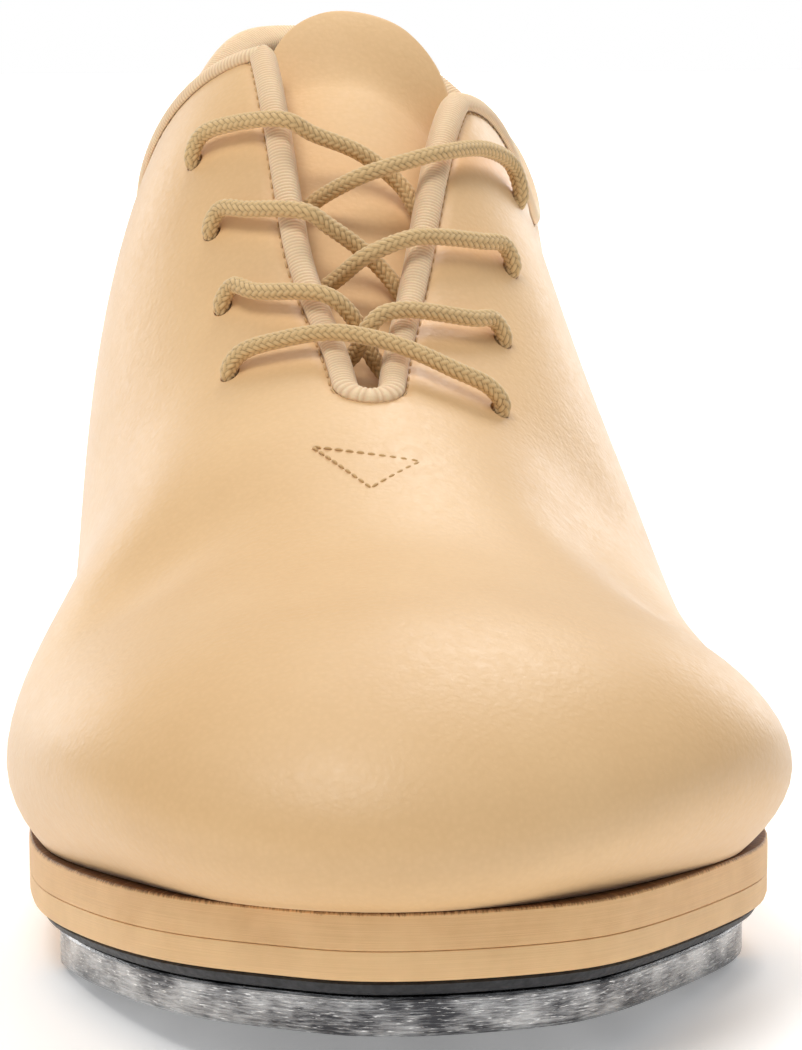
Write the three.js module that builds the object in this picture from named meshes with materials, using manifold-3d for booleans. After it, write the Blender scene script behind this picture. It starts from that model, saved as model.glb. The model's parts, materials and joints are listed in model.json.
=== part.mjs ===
// A lace-up jazz tap shoe for the left foot, built as its separate pieces, in millimetres, +Z up.
// The shape starts from the last: the solid foot form that the leather is pulled over. Every
// piece of the upper is a layer at its own depth under the last's outer skin, and every piece
// of the sole is a plate between two heights over the floor.
// While building, x runs across the shoe (medial side negative), "along" is the distance from
// the toe tip towards the heel, and z is the height over the floor. At the end the whole shoe
// is moved so that the origin lies under the middle of its box, toe towards -Y.
import * as THREE from "three";
import { mergeVertices } from "three/addons/utils/BufferGeometryUtils.js";
import Module from "manifold-3d";

const wasm = await Module();
wasm.setup();

// ---- Driving dimensions ----
const LENGTH = 262; // toe tip to heel back
const GAP = 0.3; // running gap between neighbouring pieces

// The last's cross sections: half widths at the widest line, and the heights over and under it.
const SECTIONS = {
  along: [0, 10, 28, 52, 80, 112, 150, 190, 225, 250, LENGTH],
  lateral: [0, 24.4, 39.6, 48.4, 45.9, 44.4, 34.6, 31.9, 33.4, 25, 0],
  medial: [0, 24.5, 37.6, 44.3, 44.4, 37.7, 35.6, 32.2, 29.2, 22.3, 0],
  above: [0, 11.5, 18.5, 25.8, 35.8, 49.9, 61.3, 62, 57, 49.5, 0],
  below: [0, 12, 19.8, 24.2, 28.8, 32.7, 40, 44, 46, 36, 0],
};
const WIDEST_HEIGHT = {
  along: [0, 30, 60, 85, 110, 150, 200, LENGTH],
  z: [29.1, 30.9, 24.9, 24.3, 25, 42.4, 51, 58.9],
};
const CENTRE_LINE = { along: [0, 40, 80, 120, 180, LENGTH], x: [-0.1, 2.1, 0.5, -0.4, 1.6, 4] };
const ROUNDNESS = {
  along: [60, 110, 160, 225],
  upright: [1.86, 1.72, 1.98, 2.06],
  across: [1.79, 1.86, 2.14, 2.02],
};
const SOFTENING = 2; // rounds the section where its two halves meet

// The sole's outline, seen from above.
const SOLE = {
  along: [4, 9, 16, 30, 45, 66, 90, 115, 145, 175, 205, 232, 250, 258],
  half: [0, 15.2, 23.5, 32.9, 39.8, 45.5, 43, 40, 33, 29.8, 29.6, 27.4, 17, 0],
  middle: [0.8, 3.2, 3, 2.4, 3.2, 4, 2, 2.5, 1, 1, 3.6, 5.1, 3.5, 3.5],
};

// Heights over the floor, and the thicknesses of the sole unit.
const BALL_HEIGHT = 15; // feather edge at the ball of the foot
const HEEL_RISE = 15;
const TOE_SPRING = 0.13; // slope of the forefoot from the ball up to the toe
const BALL_ALONG = 60;
const BALL_BLEND = 5;
const WAIST_FROM = 90;
const WAIST_TO = 235;
const MIDSOLE = 4;
const OUTSOLE = 3.4;
const TAP_BOARD = 1.4;
const TAP = 5;
const TOE_TAP_END = 62;
const HEEL_BREAST = 188;

// The upper's layers, as depths under the last's outer skin.
const LEATHER = 1.4;
const STIFFENER = 0.8;
const LINING = 0.8;
const LASTING_MARGIN = 12;

// The opening: a laced slit up the instep, and the collar round the ankle.
const THROAT = 93.5;
const THROAT_TOP = 153.5;
const COLLAR = {
  along: [120, 150, 168, 195, 222, 238, 252, 254.5, LENGTH],
  medial: [122, 113, 97, 80, 88, 98, 101, 100.8, 100.5],
  lateral: [117, 108.5, 96, 78.5, 81, 86.5, 96.5, 100.5, 100.5],
};
const CORNER_ROUNDING = 0.1;
const CORNER_BLEND = [100, 125];

// Lacing: one row is a pair of holes, given by its place along and its distance from the slit's middle.
const MEDIAL_HOLES = [[106, 17.7], [118.5, 18.7], [131, 20.5], [145, 23.5]];
const LATERAL_HOLES = [[99.5, 17.3], [114.5, 18.4], [129, 20.1], [148.5, 21.4]];
const HOLE_RADIUS = 2;
const LACE_RADIUS = 1.1;
const AGLET_LENGTH = 17;

// ---- Small maths ----
const clamp = (v, low, high) => Math.min(high, Math.max(low, v));
const smooth = (v) => {
  const u = clamp(v, 0, 1);
  return u * u * (3 - 2 * u);
};
const lerp = (a, b, t) => a + (b - a) * t;

// A natural cubic spline through (xs, ys), held at its end values outside.
function spline(xs, ys) {
  const n = xs.length;
  const bend = new Array(n).fill(0);
  const upper = new Array(n).fill(0);
  for (let i = 1; i < n - 1; i++) {
    const before = xs[i] - xs[i - 1];
    const after = xs[i + 1] - xs[i];
    const slopes = (ys[i + 1] - ys[i]) / after - (ys[i] - ys[i - 1]) / before;
    const pivot = 2 * (before + after) - before * upper[i - 1];
    upper[i] = after / pivot;
    bend[i] = (6 * slopes - before * bend[i - 1]) / pivot;
  }
  for (let i = n - 2; i > 0; i--) bend[i] -= upper[i] * bend[i + 1];
  return (value) => {
    const x = clamp(value, xs[0], xs[n - 1]);
    let i = 0;
    while (i < n - 2 && x > xs[i + 1]) i++;
    const h = xs[i + 1] - xs[i];
    const t = x - xs[i];
    const slope = (ys[i + 1] - ys[i]) / h - (h * (2 * bend[i] + bend[i + 1])) / 6;
    return ys[i] + t * slope + (t * t * bend[i]) / 2 + (t ** 3 * (bend[i + 1] - bend[i])) / (6 * h);
  };
}

// A spline over the angle of a half circle drawn on [first, last], so that both ends come out round.
function roundedSpline(xs, ys) {
  const first = xs[0];
  const span = xs[xs.length - 1] - first;
  const angle = (x) => Math.acos(clamp(1 - (2 * (x - first)) / span, -1, 1));
  const curve = spline(xs.map(angle), ys);
  return (x) => curve(angle(x));
}

// ---- The last ----
const lateralWidth = roundedSpline(SECTIONS.along, SECTIONS.lateral);
const medialWidth = roundedSpline(SECTIONS.along, SECTIONS.medial);
const heightAbove = roundedSpline(SECTIONS.along, SECTIONS.above);
const heightBelow = roundedSpline(SECTIONS.along, SECTIONS.below);
const widestHeight = spline(WIDEST_HEIGHT.along, WIDEST_HEIGHT.z);
const centreX = spline(CENTRE_LINE.along, CENTRE_LINE.x);
const uprightPower = spline(ROUNDNESS.along, ROUNDNESS.upright);
const acrossPower = spline(ROUNDNESS.along, ROUNDNESS.across);

// Height of the feather edge, where the upper meets the sole.
function featherHeight(along) {
  const toe = TOE_SPRING * BALL_BLEND * Math.log1p(Math.exp((BALL_ALONG - along) / BALL_BLEND));
  return BALL_HEIGHT + toe + HEEL_RISE * smooth((along - WAIST_FROM) / (WAIST_TO - WAIST_FROM));
}

const softPower = (distance, power) =>
  (distance * distance + SOFTENING * SOFTENING) ** (power / 2) - SOFTENING ** power;

// Under 1 inside the last, 1 on its skin, over 1 outside.
function lastField(x, along, z) {
  if (along <= 0 || along >= LENGTH) return 9;
  const dx = x - centreX(along);
  const dz = z - widestHeight(along);
  const width = Math.max(dx > 0 ? lateralWidth(along) : medialWidth(along), 1e-3);
  const height = Math.max(dz > 0 ? heightAbove(along) : heightBelow(along), 1e-3);
  const p = uprightPower(along);
  const q = acrossPower(along);
  return softPower(dx, q) / softPower(width, q) + softPower(dz, p) / softPower(height, p);
}

function lastNormal(p) {
  const e = 0.05;
  return new THREE.Vector3(
    lastField(p.x + e, p.y, p.z) - lastField(p.x - e, p.y, p.z),
    lastField(p.x, p.y + e, p.z) - lastField(p.x, p.y - e, p.z),
    lastField(p.x, p.y, p.z + e) - lastField(p.x, p.y, p.z - e),
  ).normalize();
}

// The skin's point on a ray: from a point of the spine, out in the ray's plan direction, at a slope angle.
const SPINE_TOE = 40;
const SPINE_HEEL = 226;
const SPINE_LIFT = 4;
function lastPoint(ray, angle) {
  const origin = new THREE.Vector3(
    centreX(ray.along), ray.along, widestHeight(ray.along) + SPINE_LIFT,
  );
  const direction = new THREE.Vector3(
    ray.dx * Math.cos(angle), ray.dy * Math.cos(angle), Math.sin(angle),
  );
  let inside = 0;
  let outside = 220;
  for (let k = 0; k < 34; k++) {
    const middle = (inside + outside) / 2;
    const p = origin.clone().addScaledVector(direction, middle);
    if (lastField(p.x, p.y, p.z) < 1) inside = middle;
    else outside = middle;
  }
  return origin.addScaledVector(direction, inside);
}

// The largest angle in [low, high] up to which goOn(point) stays true.
function angleWhere(ray, low, high, goOn) {
  for (let k = 0; k < 28; k++) {
    const middle = (low + high) / 2;
    if (goOn(lastPoint(ray, middle))) low = middle;
    else high = middle;
  }
  return (low + high) / 2;
}

// The skin's point straight over a point of the plan.
function lastTop(x, along) {
  let low = widestHeight(along);
  let high = low + heightAbove(along) + 10;
  for (let k = 0; k < 34; k++) {
    const middle = (low + high) / 2;
    if (lastField(x, along, middle) < 1) low = middle;
    else high = middle;
  }
  return new THREE.Vector3(x, along, low);
}

// Distance across the shoe from the centre line to the skin, at a height.
function wallReach(along, side, z) {
  let low = 0;
  let high = 60;
  for (let k = 0; k < 30; k++) {
    const middle = (low + high) / 2;
    if (lastField(centreX(along) + side * middle, along, z) < 1) low = middle;
    else high = middle;
  }
  return low;
}

// A point pulled onto the skin along the field's slope.
function ontoSkin(p) {
  const q = p.clone();
  const e = 0.05;
  for (let k = 0; k < 6; k++) {
    const gradient = new THREE.Vector3(
      lastField(q.x + e, q.y, q.z) - lastField(q.x - e, q.y, q.z),
      lastField(q.x, q.y + e, q.z) - lastField(q.x, q.y - e, q.z),
      lastField(q.x, q.y, q.z + e) - lastField(q.x, q.y, q.z - e),
    ).divideScalar(2 * e);
    q.addScaledVector(gradient, (1 - lastField(q.x, q.y, q.z)) / gradient.lengthSq());
  }
  return q;
}

// ---- The opening ----
// The slit starts with a round end and opens upwards; its middle leans over to the lateral side.
const THROAT_RADIUS = 2;
const THROAT_SPREAD = 10.4;
const THROAT_FLARE = 1.15;
const THROAT_SHIFT = 1.8;
const THROAT_LEAN = 2.1;
const throatMiddle = (along) =>
  centreX(along) + THROAT_SHIFT +
  THROAT_LEAN * clamp((along - THROAT) / (THROAT_TOP - THROAT), 0, 1.2);
const throatHalfGap = (along) => {
  const rise = clamp((along - THROAT) / (THROAT_TOP - THROAT), 0, 1.5);
  const round = clamp((along - THROAT) / THROAT_RADIUS, 0, 1);
  return THROAT_RADIUS * Math.sqrt(1 - (1 - round) ** 2) + THROAT_SPREAD * rise ** THROAT_FLARE;
};
// The line over the toes where the two sides meet; it bends over to the slit's lower end.
const ridgeX = (along) =>
  lerp(centreX(along), throatMiddle(along), smooth((along - SPINE_TOE) / (THROAT - SPINE_TOE)));
const collarMedial = spline(COLLAR.along, COLLAR.medial);
const collarLateral = spline(COLLAR.along, COLLAR.lateral);

// Where the upper ends on a ray: on the ridge over the toes, else at the slit or the collar.
function edgeAngle(ray) {
  const side = Math.sign(ray.dx) || 1;
  const collar = side < 0 ? collarMedial : collarLateral;
  const steepest = 2;
  const slit =
    ray.along >= SPINE_HEEL
      ? steepest
      : angleWhere(ray, 0, steepest, (p) => (p.x - throatMiddle(p.y)) * side > throatHalfGap(p.y));
  const [from, to] = CORNER_BLEND;
  if (ray.along < from) return slit;
  const rim = angleWhere(ray, 0, Math.PI / 2, (p) => p.z < collar(Math.max(p.y, COLLAR.along[0])));
  const k = CORNER_ROUNDING;
  const rounded = -k * Math.log(Math.exp(-slit / k) + Math.exp(-rim / k));
  return lerp(slit, rounded, smooth((ray.along - from) / (to - from)));
}

// ---- The grid of rays that every layer of the upper shares ----
const TOE_FAN = 5;
const HEEL_FAN = 4;
const SIDE_STATIONS = [
  226, 212, 198, 185, 174, 166, 160, 155.5, 150.5, 143, 132, 120, 109, 101, 97, 95.2, 94.2,
  93.5, 85, 74, 63, 52,
];

function makeRays() {
  const rays = [];
  for (let i = 0; i < HEEL_FAN; i++) {
    const turn = (Math.PI / 2) * (i / HEEL_FAN);
    rays.push({ along: SPINE_HEEL, dx: -Math.sin(turn), dy: Math.cos(turn) });
  }
  for (const along of SIDE_STATIONS) rays.push({ along, dx: -1, dy: 0 });
  for (let i = 0; i <= 2 * TOE_FAN; i++) {
    const turn = (Math.PI / 2) * (i / TOE_FAN);
    rays.push({ along: SPINE_TOE, dx: -Math.cos(turn), dy: -Math.sin(turn) });
  }
  for (const along of [...SIDE_STATIONS].reverse()) rays.push({ along, dx: 1, dy: 0 });
  for (let i = HEEL_FAN - 1; i >= 0; i--) {
    const turn = (Math.PI / 2) * (i / HEEL_FAN);
    rays.push({ along: SPINE_HEEL, dx: Math.sin(turn), dy: Math.cos(turn) });
  }
  return rays;
}

const WALL_ROWS = [0, 0.1, 0.22, 0.37, 0.56, 0.78, 1];
const EDGE_BANDS = [9, 3.2]; // last rows before the edge, by distance from it

function buildColumn(ray) {
  const origin = new THREE.Vector3(
    centreX(ray.along), ray.along, widestHeight(ray.along) + SPINE_LIFT,
  );
  const onRidge = ray.dy < 0 || ray.along <= THROAT;
  const ridge = lastTop(ridgeX(ray.along), ray.along);
  const ridgeAngle = Math.atan2(ridge.z - origin.z, (ridge.x - origin.x) * ray.dx);
  const low = angleWhere(ray, -1.5, 0, (p) => p.z < featherHeight(p.y));
  const high = onRidge ? ridgeAngle : edgeAngle(ray);
  const edge = onRidge ? ridge : lastPoint(ray, high);
  const reach = edge.distanceTo(origin);
  const bandStart = high - EDGE_BANDS[0] / reach;
  const angles = WALL_ROWS.map((row) => lerp(low, bandStart, row));
  angles.push(high - EDGE_BANDS[1] / reach);
  const points = [...angles.map((angle) => lastPoint(ray, angle)), edge];
  return { ray, points, normals: points.map(lastNormal), onRidge };
}

const columns = makeRays().map(buildColumn);
const TOP_ROW = columns[0].points.length - 1;

// ---- Closed meshes from points ----
function solidFromTriangles(corners) {
  const positions = new Float32Array(corners.length * 3);
  corners.forEach((p, i) => positions.set([p.x, p.y, p.z], 3 * i));
  const loose = new THREE.BufferGeometry();
  loose.setAttribute("position", new THREE.BufferAttribute(positions, 3));
  return withoutFlatTriangles(mergeVertices(loose, 2e-3));
}

function withoutFlatTriangles(geometry) {
  const kept = [];
  const index = geometry.index.array;
  for (let i = 0; i < index.length; i += 3) {
    const [a, b, c] = [index[i], index[i + 1], index[i + 2]];
    if (a !== b && b !== c && a !== c) kept.push(a, b, c);
  }
  geometry.setIndex(kept);
  return geometry;
}

// A solid between two grids of points: grid[column][row], outer side seen from outside.
function layerSolid(outer, inner, { isClosed = false, hasTopRim = () => true } = {}) {
  const corners = [];
  const quad = (a, b, c, d) => corners.push(a, b, c, a, c, d);
  const last = outer[0].length - 1;
  const count = isClosed ? outer.length : outer.length - 1;
  for (let i = 0; i < count; i++) {
    const k = (i + 1) % outer.length;
    for (let j = 0; j < last; j++) {
      quad(outer[i][j], outer[k][j], outer[k][j + 1], outer[i][j + 1]);
      quad(inner[i][j], inner[i][j + 1], inner[k][j + 1], inner[k][j]);
    }
    quad(outer[i][0], inner[i][0], inner[k][0], outer[k][0]);
    if (hasTopRim(i, k)) quad(outer[i][last], outer[k][last], inner[k][last], inner[i][last]);
  }
  if (!isClosed) {
    const end = outer.length - 1;
    for (let j = 0; j < last; j++) {
      quad(outer[0][j], outer[0][j + 1], inner[0][j + 1], inner[0][j]);
      quad(outer[end][j], inner[end][j], inner[end][j + 1], outer[end][j + 1]);
    }
  }
  return solidFromTriangles(corners);
}

// A plate between two faces; each face has its own outline, height and stretch of the length.
function plateSolid(top, bottom, steps) {
  const left = [];
  const right = [];
  const corner = (face, t, side) => {
    const along = lerp(face.from, face.to, t);
    return new THREE.Vector3(face.outline(along)[side], along, face.height(along));
  };
  for (let i = 0; i <= steps; i++) {
    const t = (1 - Math.cos((Math.PI * i) / steps)) / 2;
    left.push([corner(top, t, 0), corner(bottom, t, 0)]);
    right.push([corner(top, t, 1), corner(bottom, t, 1)]);
  }
  return layerSolid(left, right);
}

// A ring or disc of revolution about +Z from (radius, height) pairs.
function turnedSolid(profile, segments) {
  const lathe = new THREE.LatheGeometry(profile.map(([r, h]) => new THREE.Vector2(r, h)), segments);
  lathe.deleteAttribute("normal");
  lathe.deleteAttribute("uv");
  lathe.rotateX(Math.PI / 2);
  return withoutFlatTriangles(mergeVertices(lathe, 2e-3));
}

const tubeSection = (radius, sides) => {
  const points = [];
  for (let i = 0; i < sides; i++) {
    const turn = (2 * Math.PI * i) / sides;
    points.push(new THREE.Vector2(radius * Math.cos(turn), radius * Math.sin(turn)));
  }
  return new THREE.Shape(points);
};

function tubeSolid(points, radius, steps, sides = 8) {
  const path = new THREE.CatmullRomCurve3(points, false, "centripetal");
  path.arcLengthDivisions = 1200;
  const tube = new THREE.ExtrudeGeometry(tubeSection(radius, sides), {
    steps,
    extrudePath: path,
    bevelEnabled: false,
  });
  tube.deleteAttribute("normal");
  tube.deleteAttribute("uv");
  return withoutFlatTriangles(mergeVertices(tube, 2e-3));
}

// ---- Booleans ----
function toManifold(geometry) {
  return new wasm.Manifold(
    new wasm.Mesh({
      numProp: 3,
      vertProperties: new Float32Array(geometry.attributes.position.array),
      triVerts: new Uint32Array(geometry.index.array),
    }),
  );
}

function cut(geometry, cutters) {
  let solid = toManifold(geometry);
  for (const cutter of cutters) solid = solid.subtract(toManifold(cutter));
  const mesh = solid.getMesh();
  const result = new THREE.BufferGeometry();
  result.setAttribute("position", new THREE.BufferAttribute(mesh.vertProperties, 3));
  result.setIndex(new THREE.BufferAttribute(mesh.triVerts, 1));
  return result;
}

// ---- Materials and the scene graph ----
const shoe = new THREE.Group();
const finish = (color, roughness, metalness = 0) =>
  new THREE.MeshStandardMaterial({ color, roughness, metalness });

function add(name, geometry, material) {
  const mesh = new THREE.Mesh(geometry, material);
  mesh.name = name;
  shoe.add(mesh);
  return mesh;
}

const TAN_LEATHER = finish(0xe3bb8a, 0.5);
const LINING_CLOTH = finish(0xdcc0a2, 0.9);
const KNIT = finish(0xe8c6a6, 0.95);
const LACE_CORD = finish(0xcfa56a, 0.9);
const SOLE_LEATHER = finish(0xd9ad78, 0.6);
const HEEL_LEATHER = finish(0xcfa06a, 0.6);
const BLACK_BOARD = finish(0x1d1b1b, 0.7);
const ALUMINIUM = finish(0xb9bcc0, 0.35, 1);
const STEEL = finish(0x9c9ea2, 0.35, 1);
const FIBRE_BOARD = finish(0xa98a63, 0.9);
const CORK = finish(0x9b7447, 0.95);
const FOAM = finish(0xe9dfc4, 0.95);
const CLEAR_TIP = finish(0xd8c9b0, 0.3);

// ---- Layers of the upper ----
// How much deeper the lining lies where the toe puff or the heel counter is sandwiched in.
const PUFF_END = 56;
const COUNTER_START = 184;
function stiffenerRoom(along) {
  const toe = 1 - smooth((along - PUFF_END) / 16);
  const heel = smooth((along - COUNTER_START + 18) / 16);
  return (STIFFENER + GAP) * Math.max(toe, heel);
}
const liningDepth = (p) => LEATHER + GAP + stiffenerRoom(p.y);
const innerDepth = (p) => liningDepth(p) + LINING;

// A column's points at a depth, from the margin folded under the last up to the edge.
function layerColumn(column, depthAt, rise) {
  const { ray, points, normals } = column;
  const feather = points[0];
  const outward = new THREE.Vector3(normals[0].x, normals[0].y, 0).normalize();
  const depth = depthAt(feather);
  const corner = feather.clone().addScaledVector(outward, -depth);
  corner.z += rise;
  const margin = feather.clone();
  margin.x -= ray.dx * LASTING_MARGIN;
  margin.y -= ray.dy * LASTING_MARGIN;
  margin.z = featherHeight(margin.y) + rise;
  const wall = points.slice(1).map((p, j) => p.clone().addScaledVector(normals[j + 1], -depthAt(p)));
  return [margin, corner, ...wall];
}

function lastedLayer(outerDepth, innerDepthAt, rise, thickness) {
  return layerSolid(
    columns.map((column) => layerColumn(column, outerDepth, rise)),
    columns.map((column) => layerColumn(column, innerDepthAt, rise + thickness)),
    { hasTopRim: (i, k) => !(columns[i].onRidge && columns[k].onRidge) },
  );
}

// The two ends of a lasted layer stand this far apart at the back seam.
const SEAM_HALF = 0.15;
function backSeamColumns() {
  const twin = buildColumn({ along: SPINE_HEEL, dx: 0, dy: 1 });
  for (const [column, side] of [[columns[0], -1], [twin, 1]]) {
    for (const p of column.points) p.x += side * SEAM_HALF;
  }
  columns[columns.length - 1] = twin;
}
backSeamColumns();

// A cutter for one lace hole, along the skin's normal.
const laceHoles = [
  ...MEDIAL_HOLES.map(([along, offset]) => lastTop(throatMiddle(along) - offset, along)),
  ...LATERAL_HOLES.map(([along, offset]) => lastTop(throatMiddle(along) + offset, along)),
];
function holeCutter(p) {
  const cutter = turnedSolid([[0, -8], [HOLE_RADIUS, -8], [HOLE_RADIUS, 4], [0, 4]], 10);
  const turn = new THREE.Quaternion().setFromUnitVectors(new THREE.Vector3(0, 0, 1), lastNormal(p));
  return cutter.applyQuaternion(turn).translate(p.x, p.y, p.z);
}

function addUpper() {
  const skin = lastedLayer(() => 0, () => LEATHER, 0, LEATHER);
  add("upper", cut(skin, laceHoles.map(holeCutter)), TAN_LEATHER);
  const cloth = lastedLayer(liningDepth, innerDepth, LEATHER + GAP, LINING);
  add("lining", cut(cloth, laceHoles.map(holeCutter)), LINING_CLOTH);
}

// A stiffener between upper and lining, over some columns and rows of the shared grid.
function stiffener(picked, rowsOf, options) {
  const outer = [];
  const inner = [];
  for (const column of picked) {
    const rows = rowsOf(column);
    const at = (depth) =>
      column.points.slice(...rows).map((p, j) =>
        p.clone().addScaledVector(column.normals[rows[0] + j], -depth));
    outer.push(at(LEATHER + GAP));
    inner.push(at(LEATHER + GAP + STIFFENER - GAP / 2));
  }
  return layerSolid(outer, inner, options);
}

function addStiffeners() {
  const toeColumns = columns.filter(({ ray }) => ray.along <= PUFF_END);
  add("toe_puff", stiffener(toeColumns, () => [1, TOP_ROW + 1], { hasTopRim: () => false }), FIBRE_BOARD);
  const COUNTER_ROWS = [1, 6];
  const half = Math.floor(columns.length / 2);
  const medial = columns.slice(0, half).filter(({ ray }) => ray.along > COUNTER_START);
  const lateral = columns.slice(half, -1).filter(({ ray }) => ray.along > COUNTER_START);
  const round = [...lateral, ...medial];
  add("heel_counter", stiffener(round, () => COUNTER_ROWS), FIBRE_BOARD);
}

// ---- Knit binding folded over the edge of the opening ----
const BINDING_LEG = 3;
const BINDING_THICKNESS = 0.9;
const BINDING_BEND = 1.2; // from the edge to where the tape starts to turn over it
const BINDING_CORNER = 0.8; // how far the tape's corners stand out past the edge
const BINDING_SLACK = 0.45; // room between the lining and the tape's inner leg

function edgeLoop() {
  const first = columns.findIndex((c) => c.onRidge);
  const last = columns.length - 1 - [...columns].reverse().findIndex((c) => c.onRidge);
  const ring = [...columns.slice(0, first + 1), ...columns.slice(last + 1, -1)];
  return ring.map((column) => column.points[TOP_ROW]);
}

function addBinding() {
  const edge = edgeLoop();
  const count = edge.length;
  const sections = edge.map((p, i) => {
    const tangent = edge[(i + 1) % count].clone().sub(edge[(i + count - 1) % count]).normalize();
    const normal = lastNormal(p);
    const into = tangent.clone().cross(normal).normalize();
    const skinAt = (distance) => ontoSkin(p.clone().addScaledVector(into, distance));
    const at = (distance, depth) => {
      if (distance <= 0) return p.clone().addScaledVector(into, distance).addScaledVector(normal, -depth);
      const q = skinAt(distance);
      return q.addScaledVector(lastNormal(q), -depth);
    };
    const deep = innerDepth(p);
    const under = deep + BINDING_SLACK;
    const tape = BINDING_THICKNESS;
    return [
      at(BINDING_LEG, -GAP),
      at(BINDING_LEG, -GAP - tape),
      at(BINDING_BEND, -GAP - tape * 1.15),
      at(-BINDING_CORNER, -GAP - tape / 2),
      at(-GAP - tape, deep / 2),
      at(-BINDING_CORNER, deep + tape * 0.7),
      at(BINDING_BEND, under + tape),
      at(BINDING_LEG, under + tape * 0.9),
      at(BINDING_LEG, under),
      at(-GAP, deep + GAP),
      at(-GAP, -GAP),
    ];
  });
  const corners = [];
  for (let i = 0; i < count; i++) {
    const here = sections[i];
    const next = sections[(i + 1) % count];
    here.forEach((p, j) => {
      const k = (j + 1) % here.length;
      corners.push(p, next[j], next[k], p, next[k], here[k]);
    });
  }
  add("topline_binding", solidFromTriangles(corners), KNIT);
}

// ---- Tongue ----
const TONGUE_FROM = 79;
const TONGUE_TO = 168;
const TONGUE_DEPTH = 7.2; // under the last's skin, behind the lacing
const TONGUE_SEWN = { along: 80, slack: 0.6 }; // its front end, close under the lining
const TONGUE_DROP = 18; // length over which it comes down from the sewn end
const TONGUE_LIFT = { along: 154, rise: 7.4, over: 18 }; // its free top stands up past the collar
const TONGUE_LEATHER = 1.2;
const TONGUE_LINING = 0.8;
const TONGUE_HALF = {
  along: [57, TONGUE_FROM, 95, 120, 142, 156, 164, TONGUE_TO],
  half: [0, 11, 17.5, 20.5, 20.5, 19, 14.5, 0],
};
const tongueHalf = roundedSpline(TONGUE_HALF.along, TONGUE_HALF.half);
function tongueDepth(along) {
  const sewn = innerDepth(new THREE.Vector3(0, TONGUE_SEWN.along, 0)) + TONGUE_SEWN.slack;
  const drop = smooth((along - TONGUE_SEWN.along) / TONGUE_DROP);
  const lift = smooth((along - TONGUE_LIFT.along) / TONGUE_LIFT.over);
  return lerp(sewn, TONGUE_DEPTH, drop) - TONGUE_LIFT.rise * lift;
}

function tongueSheet(outerDepth, thickness, trim) {
  const outer = [];
  const inner = [];
  const steps = 15;
  const across = 6;
  for (let i = 0; i <= steps; i++) {
    const along = lerp(TONGUE_FROM + trim, TONGUE_TO - trim, Math.sin((Math.PI / 2) * (i / steps)));
    const half = Math.max(tongueHalf(along + trim * (i / steps)) - trim, i === steps ? 0 : 0.5);
    const outerRow = [];
    const innerRow = [];
    for (let j = 0; j <= across; j++) {
      const x = throatMiddle(along) + half * lerp(-1, 1, j / across);
      const p = lastTop(x, along);
      const normal = lastNormal(p);
      const depth = tongueDepth(along) + outerDepth;
      outerRow.push(p.clone().addScaledVector(normal, -depth));
      innerRow.push(p.clone().addScaledVector(normal, -depth - thickness));
    }
    outer.push(outerRow);
    inner.push(innerRow);
  }
  return layerSolid(inner, outer);
}

function addTongue() {
  add("tongue", tongueSheet(0, TONGUE_LEATHER, 0), TAN_LEATHER);
  add("tongue_lining", tongueSheet(TONGUE_LEATHER + GAP, TONGUE_LINING, 1), LINING_CLOTH);
}

// ---- Sole unit ----
const soleHalf = roundedSpline(SOLE.along, SOLE.half);
const soleMiddle = spline(SOLE.along, SOLE.middle);
const SOLE_FRONT = SOLE.along[0];
const SOLE_BACK = SOLE.along[SOLE.along.length - 1];

// An outline set in by a distance from one that runs from front to back.
function insetOutline(middle, half, front, back, inset) {
  return (along) => {
    const t = clamp((along - front - inset) / (back - front - 2 * inset), 0, 1);
    const source = lerp(front, back, t);
    const width = half(source);
    const narrowed = Math.max(width - inset * Math.min(1, width / 12), 0);
    return [middle(source) - narrowed, middle(source) + narrowed];
  };
}
const soleOutline = (inset) => insetOutline(soleMiddle, soleHalf, SOLE_FRONT, SOLE_BACK, inset);

// The last's outline a little over the feather edge, for the pieces that lie inside the shoe.
const INSIDE_FRONT = 6.5;
const INSIDE_BACK = 254.5;
const INSIDE_HEIGHT = 2;
const insideReach = (along, side) => wallReach(along, side, featherHeight(along) + INSIDE_HEIGHT);
const insideHalf = (along) => (insideReach(along, 1) + insideReach(along, -1)) / 2;
const insideMiddle = (along) => centreX(along) + (insideReach(along, 1) - insideReach(along, -1)) / 2;
const insideOutline = (inset) =>
  insetOutline(insideMiddle, insideHalf, INSIDE_FRONT, INSIDE_BACK, inset);

const MIDSOLE_TOP = -GAP;
const OUTSOLE_TOP = MIDSOLE_TOP - MIDSOLE - GAP;
const BOARD_TOP = OUTSOLE_TOP - OUTSOLE - GAP;
const TAP_TOP = BOARD_TOP - TAP_BOARD - GAP;
const above = (offset) => (along) => featherHeight(along) + offset;

const TAP_INSET = 3;
const TOE_BOARD_INSET = 0.8;
// A countersunk wood screw seen from the tap's face; slack widens the same shape into its hole.
const SCREW = { sink: 0.5, head: 3.2, rim: 0.3, cone: 2.2, shank: 1.6, point: 2.5, tip: 0.3, length: 11.5 };
function screwProfile(slack) {
  const face = SCREW.sink - slack * 3;
  return [
    [0, face],
    [SCREW.head + slack, face],
    [SCREW.head + slack, SCREW.sink + SCREW.rim],
    [SCREW.shank + slack, SCREW.sink + SCREW.cone],
    [SCREW.shank + slack, SCREW.length - SCREW.point],
    [SCREW.tip + slack, SCREW.length + slack],
    [0, SCREW.length + slack],
  ];
}

// Height of the toe tap's flat underside: its rear edge stands on the floor, and its tip is lifted.
const toeTapFloor = (along) => TOE_SPRING * (TOE_TAP_END - along);

// Sets a piece made about +Z into the underside of a tap.
function ontoTap(geometry, place) {
  if (!place.isLevel) geometry.rotateX(-Math.atan(TOE_SPRING));
  return geometry.translate(place.x, place.along, place.isLevel ? 0 : toeTapFloor(place.along));
}

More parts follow.
